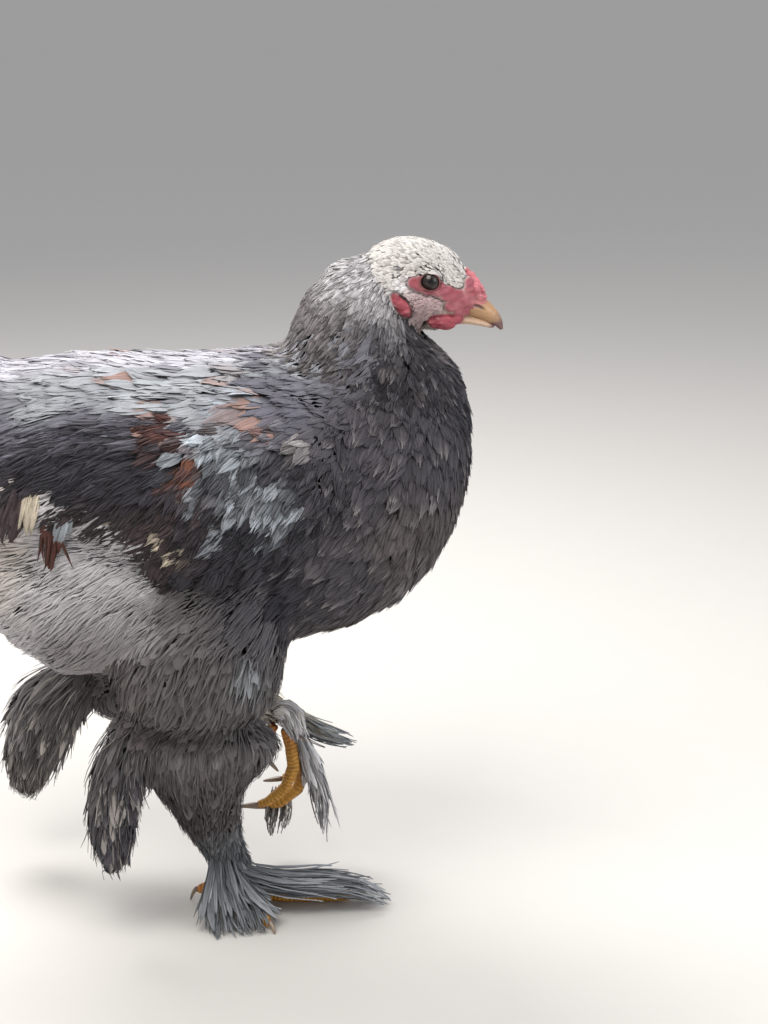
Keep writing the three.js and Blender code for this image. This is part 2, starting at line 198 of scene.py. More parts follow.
def around(cell, f):
    """The eight lattice points round each place, each with its share of the place."""
    for corner in range(8):
        step = [(corner >> axis) & 1 for axis in range(3)]
        side = [f[..., axis] if step[axis] else 1 - f[..., axis] for axis in range(3)]
        yield tuple(cell[..., axis] + step[axis] for axis in range(3)), side[0] * side[1] * side[2]


def cloud(points, size, seed=0, layers=2):
    """Smooth noise from 0 to 1 with features of about that size, in mm."""
    total, weight = 0.0, 0.0
    for layer in range(layers):
        place = points / (size / 2**layer) + 7.3 * layer
        cell = np.floor(place).astype(np.int64)
        f = place - cell
        f = f * f * (3 - 2 * f)
        value = sum(part * scramble(*lattice, seed + layer) for lattice, part in around(cell, f))
        total = total + value * 0.5**layer
        weight += 0.5**layer
    return total / weight


def curve(values, t):
    """A smooth curve through the values, from the first at t = 0 to the last at t = 1."""
    values = np.asarray(values, float)
    last = len(values) - 1
    place = np.clip(t, 0, 1) * last
    i = np.minimum(place.astype(int), last - 1)
    f = (place - i).reshape(np.shape(place) + (1,) * (values.ndim - 1))
    before = np.where((i > 0)[(...,) + (None,) * (values.ndim - 1)],
                      values[np.maximum(i - 1, 0)], 2 * values[i] - values[i + 1])
    after = np.where((i + 2 <= last)[(...,) + (None,) * (values.ndim - 1)],
                     values[np.minimum(i + 2, last)], 2 * values[i + 1] - values[i])
    here, following = values[i], values[i + 1]
    bend = 2 * before - 5 * here + 4 * following - after
    twist = 3 * here - before - 3 * following + after
    return here + 0.5 * f * (following - before + f * (bend + f * twist))


# Meshes in general

def corners_of(mesh):
    points = np.zeros(len(mesh.vertices) * 3, np.float32)
    mesh.vertices.foreach_get("co", points)
    return points.reshape(-1, 3)


def triangles_of(mesh):
    mesh.calc_loop_triangles()
    corners = np.zeros(len(mesh.loop_triangles) * 3, np.int32)
    mesh.loop_triangles.foreach_get("vertices", corners)
    return corners.reshape(-1, 3)


def shade_smooth(mesh):
    mesh.polygons.foreach_set("use_smooth", np.ones(len(mesh.polygons), bool))


def put_in_scene(name, data):
    made = bpy.data.objects.new(name, data)
    bpy.context.scene.collection.objects.link(made)
    return made


def mesh_object(name, points, corners, starts):
    """A smooth mesh object from places in mm, all faces' corners and where each face starts."""
    mesh = bpy.data.meshes.new(name)
    mesh.vertices.add(len(points))
    mesh.vertices.foreach_set("co", (points * MM).astype(np.float32).ravel())
    mesh.loops.add(len(corners))
    mesh.loops.foreach_set("vertex_index", corners)
    mesh.polygons.add(len(starts))
    mesh.polygons.foreach_set("loop_start", starts)
    mesh.update(calc_edges=True)
    shade_smooth(mesh)
    return put_in_scene(name, mesh)


def plain_mesh(name, points, faces):
    """A mesh object whose faces are all of one size."""
    faces = np.asarray(faces, np.int32)
    starts = np.arange(len(faces), dtype=np.int32) * faces.shape[1]
    return mesh_object(name, np.asarray(points), faces.ravel(), starts)


def tube_faces(rings, sides):
    """Four-cornered faces between rings of corners."""
    grid = np.arange((rings - 1) * sides).reshape(-1, sides)
    after = np.roll(grid, -1, 1)
    return np.stack([grid, after, after + sides, grid + sides], -1).reshape(-1, 4)


@contextlib.contextmanager
def edited(obj):
    """The object's mesh, open for changes, that is put back with all faces turned outward."""
    mesh = bmesh.new()
    mesh.from_mesh(obj.data)
    yield mesh
    bmesh.ops.recalc_face_normals(mesh, faces=mesh.faces[:])
    mesh.to_mesh(obj.data)
    mesh.free()


def apply_modifiers(obj):
    """Puts the modified shape in the place of the mesh."""
    graph = bpy.context.evaluated_depsgraph_get()
    old = obj.data
    obj.data = bpy.data.meshes.new_from_object(obj.evaluated_get(graph))
    obj.modifiers.clear()
    bpy.data.meshes.remove(old)


def paint_corners(obj, colours):
    layer = obj.data.color_attributes.new("Plumage", "FLOAT_COLOR", "POINT")
    flat = np.ones((len(obj.data.vertices), 4), np.float32)
    flat[:, :3] = np.clip(colours, 0, 1).reshape(-1, 3)
    layer.data.foreach_set("color", flat.ravel())


def add_map(obj, name, at_corner):
    layer = obj.data.uv_layers.new(name=name)
    layer.data.foreach_set("uv", np.ascontiguousarray(at_corner, np.float32).ravel())


# Solids as fields of distances

FAR = 60.0
REACH = 9.0  # how far around a solid its distances are kept
FADE = 6.0  # how softly the coat's depth changes from one solid to the next
THINNEST = 0.3  # the least depth of the coat that feathers are laid in


@functools.lru_cache(None)
def solid_of(name):
    """Corners, in mm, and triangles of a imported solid."""
    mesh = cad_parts[name].data
    return corners_of(mesh) / MM, triangles_of(mesh)


class Field:
    """Distances to a surface on an even grid, negative inside, with the owner of each place."""

    def __init__(self, low, high, step):
        self.step = step
        self.first = np.floor(np.array(low) / step).astype(int)
        count = np.ceil(np.array(high) / step).astype(int) - self.first + 1
        self.value = np.full(count, FAR, np.float32)
        self.nearest = np.full(count, FAR, np.float32)
        self.owner = np.zeros(count, np.uint8)
        self.depth = np.zeros(count, np.float32)
        self.weight = np.full(count, 1e-6, np.float32)

    def axes(self, low=None, count=None):
        low = self.first if low is None else low
        count = self.value.shape if count is None else count
        shapes = ((-1, 1, 1), (1, -1, 1), (1, 1, -1))
        return [((np.arange(n) + f) * self.step).reshape(s) for n, f, s in zip(count, low, shapes)]

    def distances(self, points, faces, low, count, band):
        transform = openvdb.createLinearTransform(voxelSize=self.step)
        kind = "triangles" if faces.shape[1] == 3 else "quads"
        grid = openvdb.FloatGrid.createLevelSetFromPolygons(
            np.ascontiguousarray(points, np.float32),
            transform=transform,
            halfWidth=band / self.step,
            **{kind: np.ascontiguousarray(faces, np.uint32)},
        )
        part = np.empty(count, np.float32)
        grid.copyToArray(part, ijk=tuple(int(v) for v in low))
        return part

    def part(self, number, name):
        """The distances to one solid in the cells around it, whose owner it becomes where nearest."""
        points, triangles = solid_of(name)
        low = np.maximum(np.floor((points.min(0) - REACH) / self.step).astype(int), self.first)
        end = self.first + np.array(self.value.shape)
        high = np.minimum(np.ceil((points.max(0) + REACH) / self.step).astype(int) + 1, end)
        if (high <= low).any():
            return None
        part = self.distances(points, triangles, low, high - low, REACH)
        here = tuple(slice(a - f, b - f) for a, b, f in zip(low, high, self.first))
        nearer = part < self.nearest[here]
        self.owner[here][nearer] = number
        self.nearest[here] = np.minimum(self.nearest[here], part)
        return here, part, self.axes(low, high - low)

    def join_coated(self, number, name, blend):
        found = self.part(number, name)
        if found:
            here, part, axes = found
            self.value[here] = soft_min(self.value[here], part, blend)
            weight = np.exp(-np.maximum(part, 0) / FADE)
            self.depth[here] += weight * coat_depth(name, *axes)
            self.weight[here] += weight

    def join_bare(self, number, name):
        found = self.part(number, name)
        if found:
            here, part, _ = found
            part = part + COAT_DEPTH[name]
            self.value[here] = soft_min(self.value[here], part, TOE_BLEND)
            self.skin[here] = soft_min(self.skin[here], part, TOE_BLEND)

    def settle(self, close):
        """Closes the gaps between solids, makes every value a true distance and puts in the skin."""
        points, faces = self.surface(self.value - close)
        band = DEEPEST + close
        self.value = self.distances(points, faces, self.first, self.value.shape, band) + close
        self.skin = self.value + self.depth / self.weight

    def surface(self, value):
        grid = openvdb.FloatGrid(FAR)
        grid.copyFromArray(value, ijk=tuple(map(int, self.first)))
        grid.transform = openvdb.createLinearTransform(voxelSize=self.step)
        points, _, quads = grid.convertToPolygons(isovalue=0.0, adaptivity=0.0)
        return points, quads[:, ::-1].astype(np.int64)

    def read(self, values, points):
        top = np.array(values.shape) - 1.001
        place = np.clip(points / self.step - self.first, 0, top)
        cell = place.astype(int)
        return sum(part * values[lattice] for lattice, part in around(cell, place - cell))

    def owner_at(self, points):
        top = np.array(self.value.shape) - 1
        cell = np.clip(np.round(points / self.step - self.first).astype(int), 0, top)
        return self.owner[cell[..., 0], cell[..., 1], cell[..., 2]]

    def height(self, points):
        """How far out from the skin each place is."""
        return self.read(self.skin, points)

    def room(self, points):
        """How deep the coat is at each place."""
        return np.maximum(self.height(points) - self.read(self.value, points), THINNEST)

    def normal(self, points):
        steps = np.eye(3) * self.step
        slopes = [self.height(points + s) - self.height(points - s) for s in steps]
        return unit(np.stack(slopes, -1))


# The skin's form

# How deep the coat lies on each solid. A solid that isn't named here is all feather or horn.
COAT_DEPTH = {
    "head": 2.2,
    "neck": 6.5,
    "trunk": 9,
    "fluff": 17,
    "thigh_right": 12,
    "thigh_left": 12,
    "shank_right": 7.5,
    "shank_left": 6,
    "hock_feathers_right": 8.5,
    "hock_feathers_left": 9.5,
    "tail_coverts": 9,
    "foot_right": 0.5,
    "foot_left": 2.6,
}
for side_name in WAYS:
    COAT_DEPTH[f"wing_coverts_{side_name}"] = 5
    COAT_DEPTH[f"wing_secondaries_{side_name}"] = 5
    COAT_DEPTH[f"wing_primaries_{side_name}"] = 6
    for digit in "1234":
        COAT_DEPTH[f"toe_{side_name}_{digit}"] = 0.35 if side_name == "left" else 0
OWNERS = list(COAT_DEPTH)
BODY_BLEND, HEAD_BLEND, LEG_BLEND, TOE_BLEND = 3.0, 5.0, 3.0, 1.8
DEEPEST = 22.0  # how far in from the outline distances are wanted

# Discs of bare skin on the side of the face, as x, z and radius
BARE_DISCS = [
    (101.5, 372.3, 3.4), (105, 371.5, 4.6), (110.2, 371.2, 6.3), (115.5, 368.3, 4.8),
    (120.5, 365.4, 4.8), (125.5, 362.6, 5.4), (130.5, 361, 6.2), (133, 366.5, 4.4),
    (127.5, 356.5, 4.6), (122, 358.4, 3.6), (134, 357, 6.5), (132.3, 370.8, 3.2), (135, 366.4, 4.4),
]
BARE_EDGE = 2.5


def bare(x, z):
    """1 on the bare skin of the face and 0 in the feathers, from the side."""
    reach = FAR
    for cx, cz, r in BARE_DISCS:
        reach = np.minimum(reach, np.hypot(x - cx, z - cz) - r)
    return 1 - ease(-BARE_EDGE / 2, BARE_EDGE / 2, reach)


def coat_depth(name, x, y, z):
    if name == "head":
        return COAT_DEPTH[name] * (1 - bare(x, z)) + 0 * y
    if name == "neck":
        return mix(COAT_DEPTH["head"], COAT_DEPTH[name], 1 - ease(330, 366, z)) + 0 * (x + y)
    return COAT_DEPTH[name]


HEAD_CUT, LEG_CUT = 340.5, 139.0  # levels where the fine and the plain parts of the skin meet
EYE = {"x": 110.2, "z": 372.4, "out": 12.3, "r": 6.4}
LID_LEAN = math.radians(-8)  # how the opening between the lids is turned
CREASE = {"out": 1.7, "tall": 1.12, "half": 0.1, "deep": 0.35}  # the fold round the lids
BALL_GAP = 0.06  # between the lids and the ball of the eye
FOLDS = {"red": 1.3, "bare": 0.8}  # how strongly the skin is folded there
# Over what length the shapes of the head run into each other
BLENDS = {
    "red": 1.6, "rim": 0.5, "lid": 1.4, "crease": 0.6, "socket": 0.7, "ball": 0.2, "gape": 0.5,
}
# Red parts as chains of balls: x, z, how far out, half height and length, half thickness
COMB_MIDDLE = [
    (140.2, 361.2, 0, 1.7, 1.6), (138.9, 364.0, 0, 2.2, 1.8), (137.2, 367.0, 0, 2.5, 2.0),
    (135.4, 370.2, 0, 2.6, 2.0), (133.2, 373.3, 0, 2.3, 1.9), (130.7, 376.1, 0, 1.7, 1.5),
]
COMB_SIDE = [
    (138.2, 361.6, 3.4, 2.0, 1.6), (136.6, 364.8, 4.0, 2.4, 1.8), (134.6, 368, 4.2, 2.5, 1.8),
    (132.4, 371.2, 3.9, 2.3, 1.7), (130, 374, 3.2, 1.8, 1.4),
]
WATTLE_ROWS = [
    (110.2, 350.2, 9.8, 1.1, 1.1), (112.4, 349.7, 9.9, 2.1, 1.5), (115.5, 349.1, 9.7, 3, 1.8),
    (118.8, 348.8, 9.2, 3.4, 1.9), (122, 349.1, 8.4, 3, 1.8), (124.8, 350, 7.6, 2.1, 1.5),
    (127, 351, 7, 1.3, 1.2),
]
LOBE_ROWS = [
    (91, 365, 18.6, 1.1, 1.1), (92.2, 363, 18.8, 1.9, 1.6), (94.2, 360.4, 18.6, 2.5, 1.8),
    (96.4, 357.6, 18.2, 2.6, 1.8), (98.1, 355.4, 17.6, 1.8, 1.4),
]
CHAINS = [(COMB_MIDDLE, 1.5, 1), (COMB_SIDE, 1.4, 1), (WATTLE_ROWS, 1.6, 3), (LOBE_ROWS, 1.2, 3)]
# The groove at the corner of the mouth, as x, z and how far out, and half its width
GAPE = [(139, 349.6, 6.0), (135, 351.4, 8.0), (129, 354.2, 10.6), (124, 355.6, 12.6), (119.6, 354.6, 14)]
GAPE_WIDE = 0.5


def chain(rows, blend, finer, x, out, z):
    """Distance to a chain of balls, the balls between its rows put in."""
    rows = np.array(rows, float)
    balls = curve(rows, np.linspace(0, 1, (len(rows) - 1) * finer + 1))
    reach = FAR
    for bx, bz, bout, r, thick in balls:
        across = (out - bout) / thick
        dx, dz = (x - bx) / r, (z - bz) / r
        near = np.sqrt(dx**2 + dz**2 + across**2)
        steep = np.sqrt((dx / r) ** 2 + (dz / r) ** 2 + (across / thick) ** 2)
        ball = near * (near - 1) / np.maximum(steep, 1e-6)
        reach = soft_min(reach, ball, blend)
    return reach


def red_reach(x, out, z):
    """Distance to the nearest of comb, wattles and ear lobes."""
    reach = FAR
    for rows, blend, finer in CHAINS:
        reach = np.minimum(reach, chain(rows, blend, finer, x, out, z))
    return reach


def sculpt_head(field, skin):
    """Comb, wattles, ear lobes, lids, eye sockets, gape and folds on the head's skin."""
    head = settings().head
    x, y, z = field.axes()
    out = np.abs(y - MID)
    folds = fold_noise(x, y, z) * head.wrinkle / MM
    skin = soft_min(skin, red_reach(x, out, z) + folds * FOLDS["red"], BLENDS["red"])
    # The bare skin is folded finely, deepest on the cheek
    skin = skin + folds * FOLDS["bare"] * bare(x, z)
    # Lids round the ball of the eye
    ball = np.sqrt((x - EYE["x"]) ** 2 + (z - EYE["z"]) ** 2 + (out - EYE["out"]) ** 2) - EYE["r"]
    wide, tall = head.opening_wide / MM / 2, head.opening_tall / MM / 2
    across, upward = turned_flat(x - EYE["x"], z - EYE["z"], LID_LEAN)
    almond = np.sqrt((across / wide) ** 2 + (upward / tall) ** 2)
    opening = (almond - 1) * tall + 0 * out
    lid = head.lid / MM
    rim = soft_max(ball - lid, -opening, BLENDS["rim"])
    skin = soft_min(skin, rim, BLENDS["lid"])
    ring = np.sqrt(across**2 + (upward * CREASE["tall"]) ** 2)
    crease = np.abs(ring - (wide + CREASE["out"])) - CREASE["half"]
    crease = np.maximum(crease, np.abs(ball - lid) - CREASE["deep"])
    skin = soft_max(skin, -crease, BLENDS["crease"])
    tunnel = np.maximum(opening, EYE["out"] - out)
    skin = soft_max(skin, -tunnel, BLENDS["socket"])
    skin = soft_max(skin, -(ball - BALL_GAP), BLENDS["ball"])
    # A fine groove runs back from the beak to the corner of the mouth
    for a, b in zip(GAPE, GAPE[1:]):
        skin = soft_max(skin, GAPE_WIDE - segment(x, z, out, a, b), BLENDS["gape"])
    return skin.astype(np.float32)


def fold_noise(x, y, z):
    """Folds of skin that run back and down from the beak, from -1 to 1."""
    shape = np.broadcast_shapes(x.shape, y.shape, z.shape)
    points = np.stack([np.broadcast_to(v, shape) for v in (x * 0.55 + z * 0.35, y, z - x * 0.3)], -1)
    return 2 * cloud(points, 1.9, 3) - 1


def segment(x, z, out, a, b):
    """Distance to the line between two places given as x, z and out."""
    d = np.subtract(b, a)
    t = ((x - a[0]) * d[0] + (z - a[1]) * d[1] + (out - a[2]) * d[2]) / (d @ d)
    t = np.clip(t, 0, 1)
    dx, dz, across = x - a[0] - t * d[0], z - a[1] - t * d[1], out - a[2] - t * d[2]
    return np.sqrt(dx**2 + dz**2 + across**2)


def is_bare(name):
    return name.startswith(("toe", "foot"))


def joined(low, high, step, blend, close):
    """The field of all coated solids in a box, the skin inside them, and the bare toes."""
    field = Field(low, high, step)
    for number, name in enumerate(OWNERS):
        if not is_bare(name):
            field.join_coated(number, name, blend)
    field.settle(close)
    for number, name in enumerate(OWNERS):
        if is_bare(name):
            field.join_bare(number, name)
    return field


@functools.lru_cache(None)
def forms():
    """Fields and skins of the body, the head and the feet, worked out once."""
    body = joined((-205, -115, -6), (150, 120, 410), 2.0, BODY_BLEND, 4.5)
    head = joined((26, -24, 326), (152, 30, 402), 0.6, HEAD_BLEND, 0.4)
    feet = joined((-160, -88, -4), (100, 96, 166), 1.0, LEG_BLEND, 4.5)
    head.skin = sculpt_head(head, head.skin)
    return {"body": body, "head": head, "feet": feet}


def cut_mesh(points, quads, low, high):
    """The faces between two levels, cut clean at both."""
    mesh = bmesh.new()
    corners = [mesh.verts.new(p) for p in points]
    for quad in quads:
        mesh.faces.new([corners[i] for i in quad])
    for level, way in ((low, 1), (high, -1)):
        if level is None:
            continue
        bmesh.ops.bisect_plane(
            mesh, geom=mesh.verts[:] + mesh.edges[:] + mesh.faces[:],
            plane_co=(0, 0, level), plane_no=(0, 0, way), clear_inner=True, dist=1e-4,
        )
    return mesh


def rims(mesh):
    """The open edges, as loops of corners in order."""
    following = {}
    for edge in mesh.edges:
        if len(edge.link_faces) == 1:
            one, two = edge.verts
            following.setdefault(one, []).append(two)
            following.setdefault(two, []).append(one)
    loops = []
    left = set(following)
    while left:
        start = min(left, key=lambda v: v.index)
        loop, here = [start], start
        left.discard(start)
        while True:
            ahead = [v for v in following[here] if v in left]
            if not ahead:
                break
            here = ahead[0]
            left.discard(here)
            loop.append(here)
        loops.append(loop)
    return [loop for loop in loops if len(loop) > 12]


def zip_rims(mesh, one, two):
    """Fills the seam between two loops of corners that lie on each other."""
    place = lambda loop: np.array([v.co for v in loop])

    def turn(loop):
        p = place(loop)
        q = np.roll(p, -1, 0)
        return (p[:, 0] * q[:, 1] - q[:, 0] * p[:, 1]).sum()

    if turn(one) * turn(two) < 0:
        two = two[::-1]
    gaps = np.linalg.norm(place(two) - np.array(one[0].co), axis=1)
    start = int(gaps.argmin())
    two = two[start:] + two[:start]
    i = j = 0
    n, m = len(one), len(two)
    while i < n or j < m:
        a, b = one[i % n], two[j % m]
        a2, b2 = one[(i + 1) % n], two[(j + 1) % m]
        if j >= m or (i < n and (a2.co - b.co).length < (b2.co - a.co).length):
            mesh.faces.new((a, a2, b))
            i += 1
        else:
            mesh.faces.new((a, b2, b))
            j += 1


SEAM = 6.0  # how far apart the middles of two rims may be that meet


def whole_skin():
    """One closed skin: fine on the head and feet, plainer under the body's feathers."""
    parts = forms()
    pieces = [
        (parts["body"], LEG_CUT, HEAD_CUT),
        (parts["head"], HEAD_CUT, None),
        (parts["feet"], None, LEG_CUT),
    ]
    whole = bmesh.new()
    carrier = bpy.data.meshes.new("part")
    counts = []
    for field, low, high in pieces:
        part = cut_mesh(*field.surface(field.skin), low, high)
        part.to_mesh(carrier)
        part.free()
        whole.from_mesh(carrier)
        counts.append(len(whole.verts))
    bpy.data.meshes.remove(carrier)
    whole.verts.index_update()
    loops = rims(whole)
    middle = [np.mean([v.co for v in loop], axis=0) for loop in loops]
    plain = [i for i, loop in enumerate(loops) if loop[0].index < counts[0]]
    fine = [i for i in range(len(loops)) if i not in plain]
    for i in plain:
        j = min(fine, key=lambda k: np.linalg.norm(middle[k] - middle[i]), default=None)
        if j is None or np.linalg.norm(middle[j] - middle[i]) > SEAM:
            raise RuntimeError(f"a rim of the skin at {middle[i]} has no partner")
        zip_rims(whole, loops[i], loops[j])
        fine.remove(j)
    if fine:
        raise RuntimeError(f"{len(fine)} rims of the skin have no partner")
    bmesh.ops.smooth_vert(whole, verts=[v for loop in loops for v in loop], factor=0.5,
                          use_axis_x=True, use_axis_y=True, use_axis_z=True)
    bmesh.ops.recalc_face_normals(whole, faces=whole.faces[:])
    return whole


# Markings, shared by the skin and the coat

